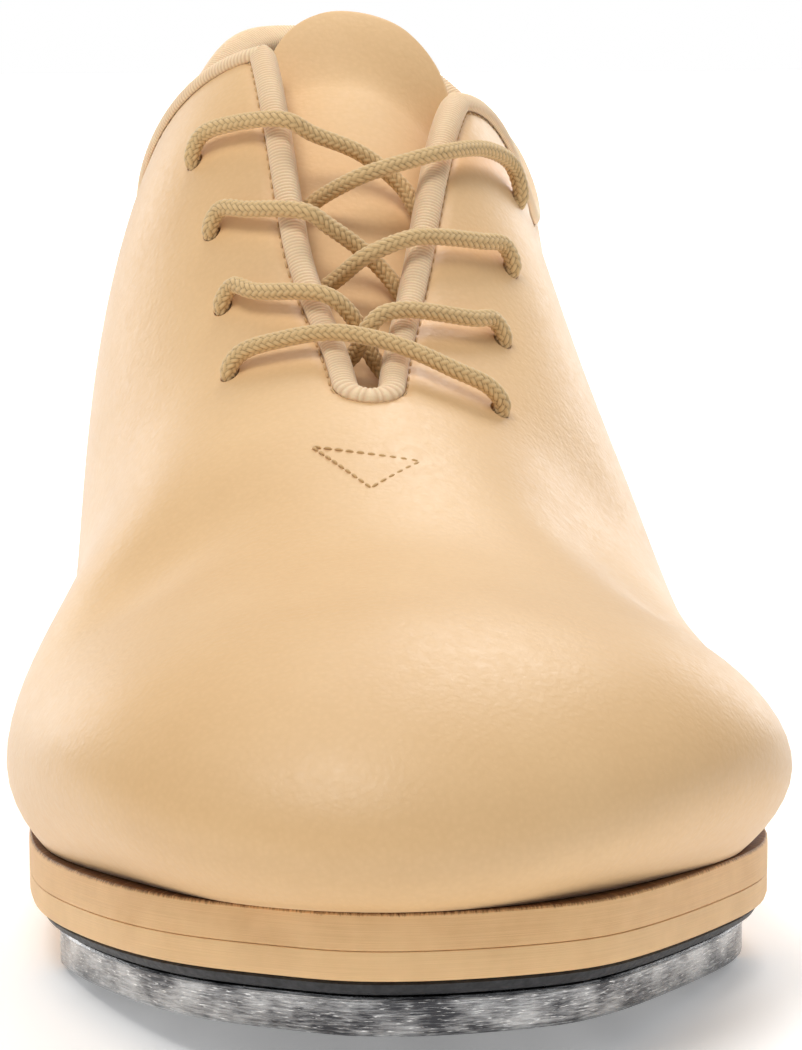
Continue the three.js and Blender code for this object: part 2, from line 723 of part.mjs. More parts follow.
const screwAt = (place, slack) => ontoTap(turnedSolid(screwProfile(slack), 12), place);

const SLOT = { length: 4.4, width: 0.9, depth: 2.4 };
function crossSlot(place) {
  return [[SLOT.length, SLOT.width], [SLOT.width, SLOT.length]].map(([w, d]) => {
    const box = new THREE.BoxGeometry(w, d, SLOT.depth);
    box.deleteAttribute("normal");
    box.deleteAttribute("uv");
    return mergeVertices(ontoTap(box, place));
  });
}

const TOE_SCREWS = [
  { x: 2.5, along: 16 }, { x: -26, along: 47 }, { x: 33, along: 47 },
];
const HEEL_SCREWS = [
  { x: -15, along: 200, isLevel: true }, { x: 22, along: 200, isLevel: true },
  { x: 4, along: 242, isLevel: true },
];

function addScrews(places, name) {
  places.forEach((place, i) => {
    add(`${name}_${i + 1}`, cut(screwAt(place, 0), crossSlot(place)), STEEL);
  });
}

// A face of the sole unit: its outline set in, from the toe or a given start to the heel or a given end.
function soleFace(inset, height, from = SOLE_FRONT + inset, to = SOLE_BACK - inset) {
  return { from, to, outline: soleOutline(inset), height };
}

function addToeUnit() {
  const holes = TOE_SCREWS.map((place) => screwAt(place, GAP));
  const tapFront = SOLE_FRONT + TAP_INSET;
  const tap = plateSolid(
    soleFace(TAP_INSET, above(TAP_TOP), tapFront, TOE_TAP_END),
    soleFace(TAP_INSET, toeTapFloor, tapFront, TOE_TAP_END),
    24,
  );
  add("toe_tap", cut(tap, holes), ALUMINIUM);
  const boardFace = (inset, height) =>
    soleFace(inset, above(height), SOLE_FRONT + inset, TOE_TAP_END + 1);
  const board = plateSolid(
    boardFace(TOE_BOARD_INSET, BOARD_TOP),
    boardFace(2 * TOE_BOARD_INSET, BOARD_TOP - TAP_BOARD),
    24,
  );
  add("toe_tap_board", cut(board, holes), BLACK_BOARD);
  addScrews(TOE_SCREWS, "toe_tap_screw");
  return holes;
}

// Nails driven from inside the shoe through insole board, soles and lifts.
const HEEL_NAILS = [
  { x: -9.5, along: 208 }, { x: 14.5, along: 208 }, { x: -6, along: 230 }, { x: 13, along: 230 },
];
const NAIL = { low: 8.6, tip: 0.2, point: 3, shank: 1, head: 2, headHeight: 0.6, sink: 0.15 };
function nailAt({ x, along }, slack) {
  const high = featherHeight(along) + BOARD_HIGH - NAIL.sink;
  const underHead = high - NAIL.headHeight - slack;
  const profile = [
    [0, NAIL.low - slack],
    [NAIL.tip + slack, NAIL.low - slack],
    [NAIL.shank + slack, NAIL.low + NAIL.point - slack],
    [NAIL.shank + slack, underHead],
    [NAIL.head + slack, underHead],
    [NAIL.head + slack, high + slack * 2],
    [0, high + slack * 2],
  ];
  return turnedSolid(profile, 10).translate(x, along, 0);
}

// The stacked heel: lifts from the outsole down to the tap, each a little smaller.
const HEEL_LIFTS = 3;
const LIFT_HEIGHT = 3.6;
const HEEL_INSET = 0.8;
const HEEL_TAPER = 0.7; // each level of the stack is set in by this much more
const BOARD_LEVEL = HEEL_LIFTS + 0.4;
const TAP_LEVEL = HEEL_LIFTS + 1.4;
function addHeelUnit(nailHoles) {
  const holes = HEEL_SCREWS.map((place) => screwAt(place, GAP));
  const boardTop = TAP + GAP + TAP_BOARD;
  const face = (level, height) =>
    soleFace(
      HEEL_INSET + HEEL_TAPER * level, height, HEEL_BREAST + level,
      SOLE_BACK - HEEL_INSET - HEEL_TAPER * level,
    );
  for (let i = 1; i <= HEEL_LIFTS; i++) {
    const bottom = boardTop + GAP + (HEEL_LIFTS - i) * (LIFT_HEIGHT + GAP);
    const top = i === 1 ? above(OUTSOLE_TOP - OUTSOLE - GAP) : () => bottom + LIFT_HEIGHT;
    const lift = plateSolid(face(i - 1, top), face(i, () => bottom), 22);
    add(`heel_lift_${i}`, cut(lift, [...holes, ...nailHoles]), HEEL_LEATHER);
  }
  const board = plateSolid(face(HEEL_LIFTS, () => boardTop), face(BOARD_LEVEL, () => TAP + GAP), 22);
  add("heel_tap_board", cut(board, holes), BLACK_BOARD);
  const tap = plateSolid(face(TAP_LEVEL, () => TAP), face(TAP_LEVEL, () => 0), 22);
  add("heel_tap", cut(tap, holes), ALUMINIUM);
  addScrews(HEEL_SCREWS, "heel_tap_screw");
}

const RIVETS = [{ x: 1.5, along: 140 }, { x: 3, along: 214 }];
const RIVET = { head: 2.4, headHeight: 0.5, shank: 1.3, length: 4.4 };
function rivetAt({ x, along }, slack) {
  const profile = [
    [0, -slack],
    [RIVET.head + slack, -slack],
    [RIVET.head + slack, RIVET.headHeight],
    [RIVET.shank + slack, RIVET.headHeight + slack * 2],
    [RIVET.shank + slack, RIVET.length + slack * 3],
    [0, RIVET.length + slack * 3],
  ];
  return turnedSolid(profile, 12).translate(x, along, featherHeight(along));
}

function addSoleUnit(toeScrewHoles, nailHoles) {
  const holes = [...toeScrewHoles, ...nailHoles];
  const midsole = plateSolid(
    soleFace(0, above(MIDSOLE_TOP)), soleFace(0, above(MIDSOLE_TOP - MIDSOLE)), 40,
  );
  add("midsole", cut(midsole, holes), SOLE_LEATHER);
  const outsole = plateSolid(
    soleFace(0, above(OUTSOLE_TOP)), soleFace(0, above(OUTSOLE_TOP - OUTSOLE)), 40,
  );
  add("outsole", cut(outsole, holes), SOLE_LEATHER);
}

const INSOLE_BOARD = 1.8;
const BOARD_LOW = LEATHER + LINING + 2 * GAP;
const BOARD_HIGH = BOARD_LOW + INSOLE_BOARD;
const CUSHION = 2.6;
const CUSHION_FROM = 180;
const SOCK = 1;
const FILLER = { from: 24, to: 124, inset: 17 };
const BOARD_INSET = 6.6;
const CUSHION_INSET = 8;
const SOCK_INSET = 6.2;
const SHANK = { from: 129, to: 226, half: 6.5, low: 0.8, high: 2.2 };

// Underside of the sock lining, lifted over the heel cushion.
const sockLow = (along) =>
  featherHeight(along) + BOARD_HIGH + GAP +
  (CUSHION + GAP) * smooth((along - CUSHION_FROM + 8) / 12);

function insideFace(inset, height, from = INSIDE_FRONT + inset, to = INSIDE_BACK - inset) {
  return { from, to, outline: insideOutline(inset), height };
}

function addShank(rivetHoles) {
  const outline = (along) => {
    const t = (along - RIVETS[0].along) / (RIVETS[1].along - RIVETS[0].along);
    const middle = lerp(RIVETS[0].x, RIVETS[1].x, t);
    return [middle - SHANK.half, middle + SHANK.half];
  };
  const shank = plateSolid(
    { ...SHANK, outline, height: above(SHANK.high) }, { ...SHANK, outline, height: above(SHANK.low) }, 18,
  );
  add("shank", cut(shank, rivetHoles), STEEL);
}

function addInside(nailHoles) {
  const rivetHoles = RIVETS.map((place) => rivetAt(place, GAP));
  const filler = plateSolid(
    insideFace(FILLER.inset, above(BOARD_LOW - GAP), FILLER.from, FILLER.to),
    insideFace(FILLER.inset, above(0), FILLER.from, FILLER.to),
    20,
  );
  add("bottom_filler", filler, CORK);
  addShank(rivetHoles);
  const board = plateSolid(
    insideFace(BOARD_INSET, above(BOARD_HIGH)), insideFace(BOARD_INSET, above(BOARD_LOW)), 38,
  );
  add("insole_board", cut(board, [...rivetHoles, ...nailHoles]), FIBRE_BOARD);
  RIVETS.forEach((place, i) => add(`shank_rivet_${i + 1}`, rivetAt(place, 0), STEEL));
  HEEL_NAILS.forEach((place, i) => add(`heel_nail_${i + 1}`, nailAt(place, 0), STEEL));
  const cushionTop = (along) => {
    const rise = CUSHION * smooth((along - CUSHION_FROM + 2) / 12);
    return featherHeight(along) + BOARD_HIGH + GAP + Math.max(rise, 0.4);
  };
  const cushion = plateSolid(
    insideFace(CUSHION_INSET, cushionTop, CUSHION_FROM),
    insideFace(CUSHION_INSET, above(BOARD_HIGH + GAP), CUSHION_FROM),
    20,
  );
  add("heel_cushion", cushion, FOAM);
  const sockHigh = (along) => sockLow(along) + SOCK;
  const sock = plateSolid(insideFace(SOCK_INSET, sockHigh), insideFace(SOCK_INSET, sockLow), 42);
  add("sock_lining", sock, LINING_CLOTH);
}

// ---- Lace ----
// A place over the skin: distance from the slit's middle, place along, height over the skin.
function overSkin(offset, along, height) {
  const p = lastTop(throatMiddle(along) + offset, along);
  return p.clone().addScaledVector(lastNormal(p), height);
}

const UNDER = -5.5; // lace under the quarter, over the tongue
const OVER = 2.9; // lace over the binding
const REST = 2.3; // lace over the bare leather
const BAR_SAG = 1; // the lowest lace lies this far towards the toe of its holes
// The two laces of a crossing. Of the way between a lace's holes: how far along the shoe it is at
// the slit's middle, and then at the far binding. Heights over the skin: rising, mid-slit, landing.
const ON_TOP = { halfway: -0.04, reached: 0.3, rising: -3.4, centre: 0.9, landing: 2.5 };
const BENEATH = { halfway: 0.45, reached: 0.2, rising: -4.6, centre: -2.4, landing: 0.6 };
const LACE_WALL_ROOM = 6.4; // from the last's skin to a free end's middle
const END_START = 2.6; // a free end starts this far past the laced part's end
const AGLET_RADIUS = 1.2;
const ROW_HOLES = [MEDIAL_HOLES, LATERAL_HOLES];

// Down through a hole from outside, coming from the slit.
function intoHole(side, row) {
  const [along, distance] = ROW_HOLES[side < 0 ? 0 : 1][row];
  return [
    overSkin(side * (distance - 2.2), along, 1.9),
    overSkin(side * distance, along, 0.3),
    overSkin(side * distance, along, -3),
    overSkin(side * (distance - 1.6), along + 0.6, UNDER),
  ];
}

// From under one quarter, across the slit, over the other quarter and into its next hole.
function crossing(side, row) {
  const [fromAlong, fromDistance] = ROW_HOLES[side < 0 ? 0 : 1][row];
  const [toAlong, toDistance] = ROW_HOLES[side < 0 ? 1 : 0][row + 1];
  const other = -side;
  const { halfway, reached, rising, centre, landing } = other > 0 ? ON_TOP : BENEATH;
  const middleAlong = lerp(fromAlong, toAlong, halfway);
  const leaveAlong = lerp(fromAlong, middleAlong, 0.55);
  const arriveAlong = lerp(middleAlong, toAlong, reached);
  return [
    overSkin(side * fromDistance * 0.62, lerp(fromAlong, leaveAlong, 0.6), UNDER),
    overSkin(side * (throatHalfGap(leaveAlong) + 1.5), leaveAlong, UNDER),
    overSkin(side * (throatHalfGap(middleAlong) - 2.1), lerp(leaveAlong, middleAlong, 0.6), rising),
    overSkin(0, middleAlong, centre),
    overSkin(other * (throatHalfGap(middleAlong) - 2), lerp(middleAlong, arriveAlong, 0.5), landing),
    overSkin(other * (throatHalfGap(arriveAlong) + 0.4), arriveAlong, OVER),
    overSkin(other * toDistance * 0.72, lerp(arriveAlong, toAlong, 0.6), REST),
  ];
}

function bottomBar() {
  const [medialAlong, medialDistance] = MEDIAL_HOLES[0];
  const [lateralAlong, lateralDistance] = LATERAL_HOLES[0];
  const at = (t, height) => overSkin(
    lerp(-medialDistance, lateralDistance, t),
    lerp(medialAlong, lateralAlong, smooth(t)) - BAR_SAG,
    height,
  );
  return [at(0.22, REST + 0.2), at(0.38, OVER), at(0.5, OVER), at(0.62, OVER), at(0.8, REST + 0.2)];
}

function lacePath() {
  const strand = (side) => [
    ...crossing(side, 0), ...intoHole(-side, 1),
    ...crossing(-side, 1), ...intoHole(side, 2),
    ...crossing(side, 2), ...intoHole(-side, 3),
  ];
  const medialFirst = [...intoHole(-1, 0), ...strand(-1)];
  const lateralFirst = [...intoHole(1, 0), ...strand(1)];
  return [...lateralFirst.reverse(), ...bottomBar().reverse(), ...medialFirst];
}

// A free end, from inside its top hole down the wall and back along the sock towards the heel.
function freeEndPath(side) {
  const [along, distance] = ROW_HOLES[side < 0 ? 0 : 1][3];
  const wall = (place, z) => {
    const reach = wallReach(place, side, z) - LACE_WALL_ROOM;
    return new THREE.Vector3(centreX(place) + side * reach, place, z);
  };
  const start = overSkin(side * (distance - 1.6), along + 0.6, UNDER);
  const floor = (place) => sockLow(place) + SOCK + LACE_RADIUS + GAP;
  const down = [80, 70, 60, 50].map((z, i) => wall(along + 3 + 2 * i, z));
  const turn = [wall(along + 12, floor(along + 12) + 5), wall(along + 17, floor(along + 17) + 0.4)];
  const back = [];
  for (let place = along + 25; place <= along + 60; place += 7) back.push(wall(place, floor(place)));
  return [start, ...down, ...turn, ...back];
}

function addLace() {
  const route = lacePath();
  add("lace", tubeSolid(route, LACE_RADIUS, 132), LACE_CORD);
  for (const [side, name] of [[-1, "medial"], [1, "lateral"]]) {
    const path = freeEndPath(side);
    const tipStart = path[path.length - 2];
    const tipEnd = path[path.length - 1];
    const direction = tipEnd.clone().sub(tipStart).normalize();
    const away = path[1].clone().sub(path[0]).normalize();
    const cordStart = path[0].clone().addScaledVector(away, END_START);
    add(`lace_end_${name}`, tubeSolid([cordStart, ...path.slice(1)], LACE_RADIUS, 24), LACE_CORD);
    const tipBegin = tipEnd.clone().addScaledVector(direction, GAP);
    const tipFar = tipBegin.clone().addScaledVector(direction, AGLET_LENGTH);
    const tip = tubeSolid([tipBegin, tipFar], AGLET_RADIUS, 4);
    add(`aglet_${name}`, tip, CLEAR_TIP);
  }
}

const toeHoles = addToeUnit();
const nailHoles = HEEL_NAILS.map((place) => nailAt(place, GAP));
addHeelUnit(nailHoles);
addSoleUnit(toeHoles, nailHoles);
addInside(nailHoles);
addStiffeners();
addUpper();
addBinding();
addTongue();
addLace();

// Origin under the middle of the shoe's box, on the floor.
const box = new THREE.Box3().setFromObject(shoe);
const middle = box.getCenter(new THREE.Vector3());
shoe.position.set(-middle.x, -middle.y, -box.min.z);

export default shoe;
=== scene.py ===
"""A tan leather lace-up tap shoe for the left foot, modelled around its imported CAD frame.

Lengths in this script are millimetres in the shoe's own layout, as in the part's source: x runs
across the shoe, "along" from the toe tip to the heel, z up from the floor. to_row() turns them
into metres in the row frame.
"""

import json
import math

import bmesh
import bpy
import numpy as np
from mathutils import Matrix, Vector


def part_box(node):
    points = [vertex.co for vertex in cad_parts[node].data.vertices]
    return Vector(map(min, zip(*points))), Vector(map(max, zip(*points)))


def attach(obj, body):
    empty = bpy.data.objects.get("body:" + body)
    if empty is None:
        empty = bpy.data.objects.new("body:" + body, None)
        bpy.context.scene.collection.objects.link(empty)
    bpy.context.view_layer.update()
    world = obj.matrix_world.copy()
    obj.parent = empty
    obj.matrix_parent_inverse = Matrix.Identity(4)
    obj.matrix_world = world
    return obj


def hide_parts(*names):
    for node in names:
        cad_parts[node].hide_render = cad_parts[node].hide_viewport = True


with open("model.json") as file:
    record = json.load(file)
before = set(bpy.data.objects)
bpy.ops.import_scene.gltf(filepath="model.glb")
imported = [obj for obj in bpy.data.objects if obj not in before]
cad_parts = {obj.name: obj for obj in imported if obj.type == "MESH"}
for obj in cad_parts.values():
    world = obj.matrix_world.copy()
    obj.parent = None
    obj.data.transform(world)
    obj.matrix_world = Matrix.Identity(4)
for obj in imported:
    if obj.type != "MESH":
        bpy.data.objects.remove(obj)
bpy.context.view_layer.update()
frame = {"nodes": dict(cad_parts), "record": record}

# ---- The last, as in the part's source ----
LENGTH = 262
SECTIONS = {
    "along": [0, 10, 28, 52, 80, 112, 150, 190, 225, 250, LENGTH],
    "lateral": [0, 24.4, 39.6, 48.4, 45.9, 44.4, 34.6, 31.9, 33.4, 25, 0],
    "medial": [0, 24.5, 37.6, 44.3, 44.4, 37.7, 35.6, 32.2, 29.2, 22.3, 0],
    "above": [0, 11.5, 18.5, 25.8, 35.8, 49.9, 61.3, 62, 57, 49.5, 0],
    "below": [0, 12, 19.8, 24.2, 28.8, 32.7, 40, 44, 46, 36, 0],
}
WIDEST_HEIGHT = ([0, 30, 60, 85, 110, 150, 200, LENGTH], [29.1, 30.9, 24.9, 24.3, 25, 42.4, 51, 58.9])
CENTRE_LINE = ([0, 40, 80, 120, 180, LENGTH], [-0.1, 2.1, 0.5, -0.4, 1.6, 4])
UPRIGHT_POWER = ([60, 110, 160, 225], [1.86, 1.72, 1.98, 2.06])
ACROSS_POWER = ([60, 110, 160, 225], [1.79, 1.86, 2.14, 2.02])
SOFTENING = 2
SOLE_ALONG = [4, 9, 16, 30, 45, 66, 90, 115, 145, 175, 205, 232, 250, 258]
SOLE_HALF = [0, 15.2, 23.5, 32.9, 39.8, 45.5, 43, 40, 33, 29.8, 29.6, 27.4, 17, 0]
SOLE_MIDDLE = [0.8, 3.2, 3, 2.4, 3.2, 4, 2, 2.5, 1, 1, 3.6, 5.1, 3.5, 3.5]

BALL_HEIGHT = 15
HEEL_RISE = 15
TOE_SPRING = 0.13
BALL_ALONG = 60
BALL_BLEND = 5
WAIST = (90, 235)
MIDSOLE = 4
OUTSOLE = 3.4
TAP_BOARD = 1.4
TAP = 5
GAP = 0.3
TOE_TAP_END = 62
HEEL_BREAST = 188
SPINE_TOE = 40
SPINE_HEEL = 226
SPINE_LIFT = 4
FARTHEST = 220
FINE_STEPS = 34
STEPS = 28
COARSE_STEPS = 24

LEATHER = 1.4
STIFFENER = 0.8
LINING = 0.8
PUFF_END = 56
COUNTER_START = 184
STIFFENER_FADE = 16
COUNTER_LEAD = 18

THROAT = 93.5
THROAT_TOP = 153.5
THROAT_RADIUS = 2
THROAT_SPREAD = 10.4
THROAT_FLARE = 1.15
THROAT_SHIFT = 1.8
THROAT_LEAN = 2.1
COLLAR_ALONG = [120, 150, 168, 195, 222, 238, 252, 254.5, LENGTH]
COLLAR_MEDIAL = [122, 113, 97, 80, 88, 98, 101, 100.8, 100.5]
COLLAR_LATERAL = [117, 108.5, 96, 78.5, 81, 86.5, 96.5, 100.5, 100.5]
CORNER_ROUNDING = 0.1
CORNER_BLEND = (100, 125)

MEDIAL_HOLES = [(106, 17.7), (118.5, 18.7), (131, 20.5), (145, 23.5)]
LATERAL_HOLES = [(99.5, 17.3), (114.5, 18.4), (129, 20.1), (148.5, 21.4)]
LACE_RADIUS = 1.1

# ---- Small maths ----


def smooth(v):
    u = np.clip(v, 0, 1)
    return u * u * (3 - 2 * u)


def lerp(a, b, t):
    return a + (b - a) * t


def spline(xs, ys):
    """A natural cubic spline, held at its end values outside."""
    xs = np.asarray(xs, float)
    ys = np.asarray(ys, float)
    step = np.diff(xs)
    count = len(xs)
    matrix = np.eye(count)
    right = np.zeros(count)
    for i in range(1, count - 1):
        matrix[i, i - 1 : i + 2] = step[i - 1], 2 * (step[i - 1] + step[i]), step[i]
        right[i] = 6 * ((ys[i + 1] - ys[i]) / step[i] - (ys[i] - ys[i - 1]) / step[i - 1])
    bend = np.linalg.solve(matrix, right)

    def value(v):
        v = np.clip(v, xs[0], xs[-1])
        i = np.clip(np.searchsorted(xs, v, "right") - 1, 0, count - 2)
        t = v - xs[i]
        slope = (ys[i + 1] - ys[i]) / step[i] - step[i] * (2 * bend[i] + bend[i + 1]) / 6
        cubic = t**3 * (bend[i + 1] - bend[i]) / (6 * step[i])
        return ys[i] + t * slope + t * t * bend[i] / 2 + cubic

    return value


def rounded_spline(xs, ys):
    """A spline over the angle of a half circle on the range of xs, so that both ends are round."""
    first = xs[0]
    span = xs[-1] - first

    def angle(v):
        return np.arccos(np.clip(1 - 2 * (np.asarray(v, float) - first) / span, -1, 1))

    curve = spline(angle(xs), ys)
    return lambda v: curve(angle(v))


def bisect(low, high, keep, steps):
    """Narrows a range by halves: where keep is true of the middle, that becomes the new low."""
    for _ in range(steps):
        middle = (low + high) / 2
        kept = keep(middle)
        low = np.where(kept, middle, low)
        high = np.where(kept, high, middle)
    return low, high


def running_length(points):
    """The length along a path up to each of its points."""
    return np.concatenate([[0], np.cumsum(np.linalg.norm(np.diff(points, axis=0), axis=1))])


def at_lengths(points, lengths):
    """Points of a path at lengths along it."""
    run = running_length(points)
    return np.stack([np.interp(lengths, run, column) for column in points.T], -1)


def circle(count, across, up):
    """Unit spokes all round, from two side vectors."""
    turn = np.linspace(0, 2 * np.pi, count, endpoint=False)[:, None]
    return np.cos(turn) * across + np.sin(turn) * up


def unit(v):
    v = np.asarray(v, float)
    return v / np.maximum(np.linalg.norm(v, axis=-1, keepdims=True), 1e-9)


lateral_width, medial_width, height_above, height_below = (
    rounded_spline(SECTIONS["along"], SECTIONS[name]) for name in ("lateral", "medial", "above", "below")
)
widest_height, centre_x, upright_power, across_power = (
    spline(*table) for table in (WIDEST_HEIGHT, CENTRE_LINE, UPRIGHT_POWER, ACROSS_POWER)
)
collar_medial, collar_lateral = (spline(COLLAR_ALONG, rim) for rim in (COLLAR_MEDIAL, COLLAR_LATERAL))
sole_half = rounded_spline(SOLE_ALONG, SOLE_HALF)
sole_middle = spline(SOLE_ALONG, SOLE_MIDDLE)


def feather_height(along):
    """Height of the feather edge, where the upper meets the sole."""
    toe = TOE_SPRING * BALL_BLEND * np.log1p(np.exp((BALL_ALONG - along) / BALL_BLEND))
    return BALL_HEIGHT + toe + HEEL_RISE * smooth((along - WAIST[0]) / (WAIST[1] - WAIST[0]))


def soft_power(distance, power):
    return (distance**2 + SOFTENING**2) ** (power / 2) - SOFTENING**power


def last_field(x, along, z):
    """Under 1 inside the last, 1 on its skin, over 1 outside."""
    dx = x - centre_x(along)
    dz = z - widest_height(along)
    width = np.maximum(np.where(dx > 0, lateral_width(along), medial_width(along)), 1e-3)
    height = np.maximum(np.where(dz > 0, height_above(along), height_below(along)), 1e-3)
    p = upright_power(along)
    q = across_power(along)
    value = soft_power(dx, q) / soft_power(width, q) + soft_power(dz, p) / soft_power(height, p)
    return np.where((along <= 0) | (along >= LENGTH), 9.0, value)


def field_slope(points, step=0.05):
    def at(shift):
        return last_field(*np.moveaxis(points + shift, -1, 0))

    return np.stack([at(shift) - at(-shift) for shift in np.eye(3) * step], -1) / (2 * step)


def skin_normal(points):
    return unit(field_slope(points))


def onto_skin(points):
    points = np.array(points, float)
    for _ in range(6):
        slope = field_slope(points)
        miss = 1 - last_field(*np.moveaxis(points, -1, 0))
        points = points + slope * (miss / np.sum(slope**2, -1))[..., None]
    return points


def last_top(x, along):
    """The skin's point straight over a point of the plan."""
    x, along = np.broadcast_arrays(np.asarray(x, float), np.asarray(along, float))
    low = widest_height(along)
    high = low + height_above(along) + 10
    top, _ = bisect(low, high, lambda z: last_field(x, along, z) < 1, FINE_STEPS)
    return np.stack([x, along, top], -1)


def up_throat(along, most):
    """The share of the slit's length passed at a place along, from 0 to most."""
    return np.clip((along - THROAT) / (THROAT_TOP - THROAT), 0, most)


def throat_middle(along):
    return centre_x(along) + THROAT_SHIFT + THROAT_LEAN * up_throat(along, 1.2)


def throat_half_gap(along):
    rise = up_throat(along, 1.5)
    turn = np.clip((along - THROAT) / THROAT_RADIUS, 0, 1)
    return THROAT_RADIUS * np.sqrt(1 - (1 - turn) ** 2) + THROAT_SPREAD * rise**THROAT_FLARE


def ridge_x(along):
    blend = smooth((along - SPINE_TOE) / (THROAT - SPINE_TOE))
    return lerp(centre_x(along), throat_middle(along), blend)


# ---- The grid of the skin: columns round the shoe, rows from the feather to the edge ----
TOE_FAN = 20
HEEL_FAN = 14
WALL_ROWS = 40
EDGE_ROWS = 12
EDGE_BAND = 6


def side_stations():
    """Places along the shoe of the side's columns, denser at the corner and the slit's end."""
    stretches = [(SPINE_HEEL, 166, 26), (166, 148, 18), (148, 99, 26), (99, THROAT, 14), (THROAT, 42, 24)]
    return np.concatenate([np.linspace(a, b, n, endpoint=False) for a, b, n in stretches])


def rays():
    """Columns of (place along the spine, plan direction), from the heel over the medial side and back."""
    heel = np.linspace(0, math.pi / 2, HEEL_FAN, endpoint=False)
    toe = np.linspace(0, math.pi, 2 * TOE_FAN + 1)
    side = side_stations()
    columns = [(SPINE_HEEL, -math.sin(t), math.cos(t)) for t in heel]
    columns += [(a, -1.0, 0.0) for a in side]
    columns += [(SPINE_TOE, -math.cos(t), -math.sin(t)) for t in toe]
    columns += [(a, 1.0, 0.0) for a in side[::-1]]
    columns += [(SPINE_HEEL, math.sin(t), math.cos(t)) for t in heel[::-1]]
    return np.array(columns).T


def cast(ray, angle):
    """Points of the skin on rays at slope angles: ray rows are along, dx, dy."""
    along, dx, dy = ray
    origin = np.stack([centre_x(along), along, widest_height(along) + SPINE_LIFT], -1)
    flat = np.cos(angle)
    direction = np.stack([dx * flat, dy * flat, np.sin(angle)], -1)

    def inside(reach):
        return last_field(*np.moveaxis(origin + direction * reach[..., None], -1, 0)) < 1

    none = np.zeros(direction.shape[:-1])
    reach, _ = bisect(none, none + FARTHEST, inside, FINE_STEPS)
    return origin + direction * reach[..., None]


def angle_where(ray, low, high, go_on):
    none = np.zeros(ray.shape[1])
    low, high = bisect(none + low, none + high, lambda angle: go_on(cast(ray, angle)), STEPS)
    return (low + high) / 2


def edge_angle(ray):
    along, dx, _ = ray
    side = np.where(dx < -1e-9, -1.0, 1.0)

    def outside_slit(p):
        return (p[:, 0] - throat_middle(p[:, 1])) * side > throat_half_gap(p[:, 1])

    def under_collar(p):
        place = np.maximum(p[:, 1], COLLAR_ALONG[0])
        return p[:, 2] < np.where(side < 0, collar_medial(place), collar_lateral(place))

    steepest = 2.0
    slit = angle_where(ray, 0, steepest, outside_slit)
    slit = np.where(along >= SPINE_HEEL, steepest, slit)
    rim = angle_where(ray, 0, math.pi / 2, under_collar)
    k = CORNER_ROUNDING
    rounded = -k * np.log(np.exp(-slit / k) + np.exp(-rim / k))
    first, last = CORNER_BLEND
    return lerp(slit, rounded, smooth((along - first) / (last - first)))


def build_grid():
    ray = rays()
    along, dx, dy = ray
    origin = np.stack([centre_x(along), along, widest_height(along) + SPINE_LIFT], -1)
    on_ridge = (dy < -1e-9) | (along <= THROAT)
    ridge = last_top(ridge_x(along), along)
    ridge_angle = np.arctan2(ridge[:, 2] - origin[:, 2], (ridge[:, 0] - origin[:, 0]) * dx)
    low = angle_where(ray, -1.5, 0, lambda p: p[:, 2] < feather_height(p[:, 1]))
    high = np.where(on_ridge, ridge_angle, edge_angle(ray))
    edge = np.where(on_ridge[:, None], ridge, cast(ray, high))
    reach = np.linalg.norm(edge - origin, axis=-1)
    band = high - EDGE_BAND / reach
    rows = [lerp(low, band, t) for t in np.linspace(0, 1, WALL_ROWS)]
    rows += [lerp(band, high, t) for t in np.linspace(0, 1, EDGE_ROWS)[1:]]
    angles = np.stack(rows, -1)
    points = cast(ray[:, :, None], angles)
    points[:, -1] = edge
    return ray, points, skin_normal(points), on_ridge


RAY, SKIN, NORMALS, ON_RIDGE = build_grid()


def stiffener_room(along):
    toe = 1 - smooth((along - PUFF_END) / STIFFENER_FADE)
    heel = smooth((along - COUNTER_START + COUNTER_LEAD) / STIFFENER_FADE)
    return (STIFFENER + GAP) * np.maximum(toe, heel)


def inner_depth(along):
    return LEATHER + GAP + stiffener_room(along) + LINING


# ---- Row frame, meshes and pieces ----
SHARP_CUT = 50
SHARP_PLATE = 32
OUTSOLE_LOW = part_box("outsole")[0] * 1000
sole_run = np.linspace(SOLE_ALONG[0], SOLE_ALONG[-1], 2000)
OFFSET = np.array(
    [
        OUTSOLE_LOW.x - np.min(sole_middle(sole_run) - sole_half(sole_run)),
        OUTSOLE_LOW.y - SOLE_ALONG[0],
        0,
    ]
)


def to_row(points):
    return (np.asarray(points, float) + OFFSET) / 1000


def new_object(name, data):
    obj = bpy.data.objects.new(name, data)
    bpy.context.scene.collection.objects.link(obj)
    return obj


def mesh_object(name, points, faces, uv=None):
    """A mesh object from points in shoe millimetres. uv holds one (u, v) for each point."""
    mesh = bpy.data.meshes.new(name)
    mesh.from_pydata(to_row(points).tolist(), [], [list(map(int, f)) for f in faces])
    mesh.shade_smooth()
    if uv is not None:
        layer = mesh.uv_layers.new(name="UVMap")
        corner = np.empty(len(mesh.loops), int)
        mesh.loops.foreach_get("vertex_index", corner)
        layer.data.foreach_set("uv", np.asarray(uv, np.float32)[corner].ravel())
    mesh.validate()
    return new_object(name, mesh)


def weld(obj, distance=2e-6):
    """Merges points closer than distance, if it isn't 0, and turns the faces outwards."""
    bm = bmesh.new()
    bm.from_mesh(obj.data)
    if distance:
        bmesh.ops.remove_doubles(bm, verts=bm.verts, dist=distance)
        bmesh.ops.dissolve_degenerate(bm, edges=bm.edges, dist=1e-7)
    bmesh.ops.recalc_face_normals(bm, faces=bm.faces)
    bm.to_mesh(obj.data)
    bm.free()
    obj.data.shade_smooth()
    return obj


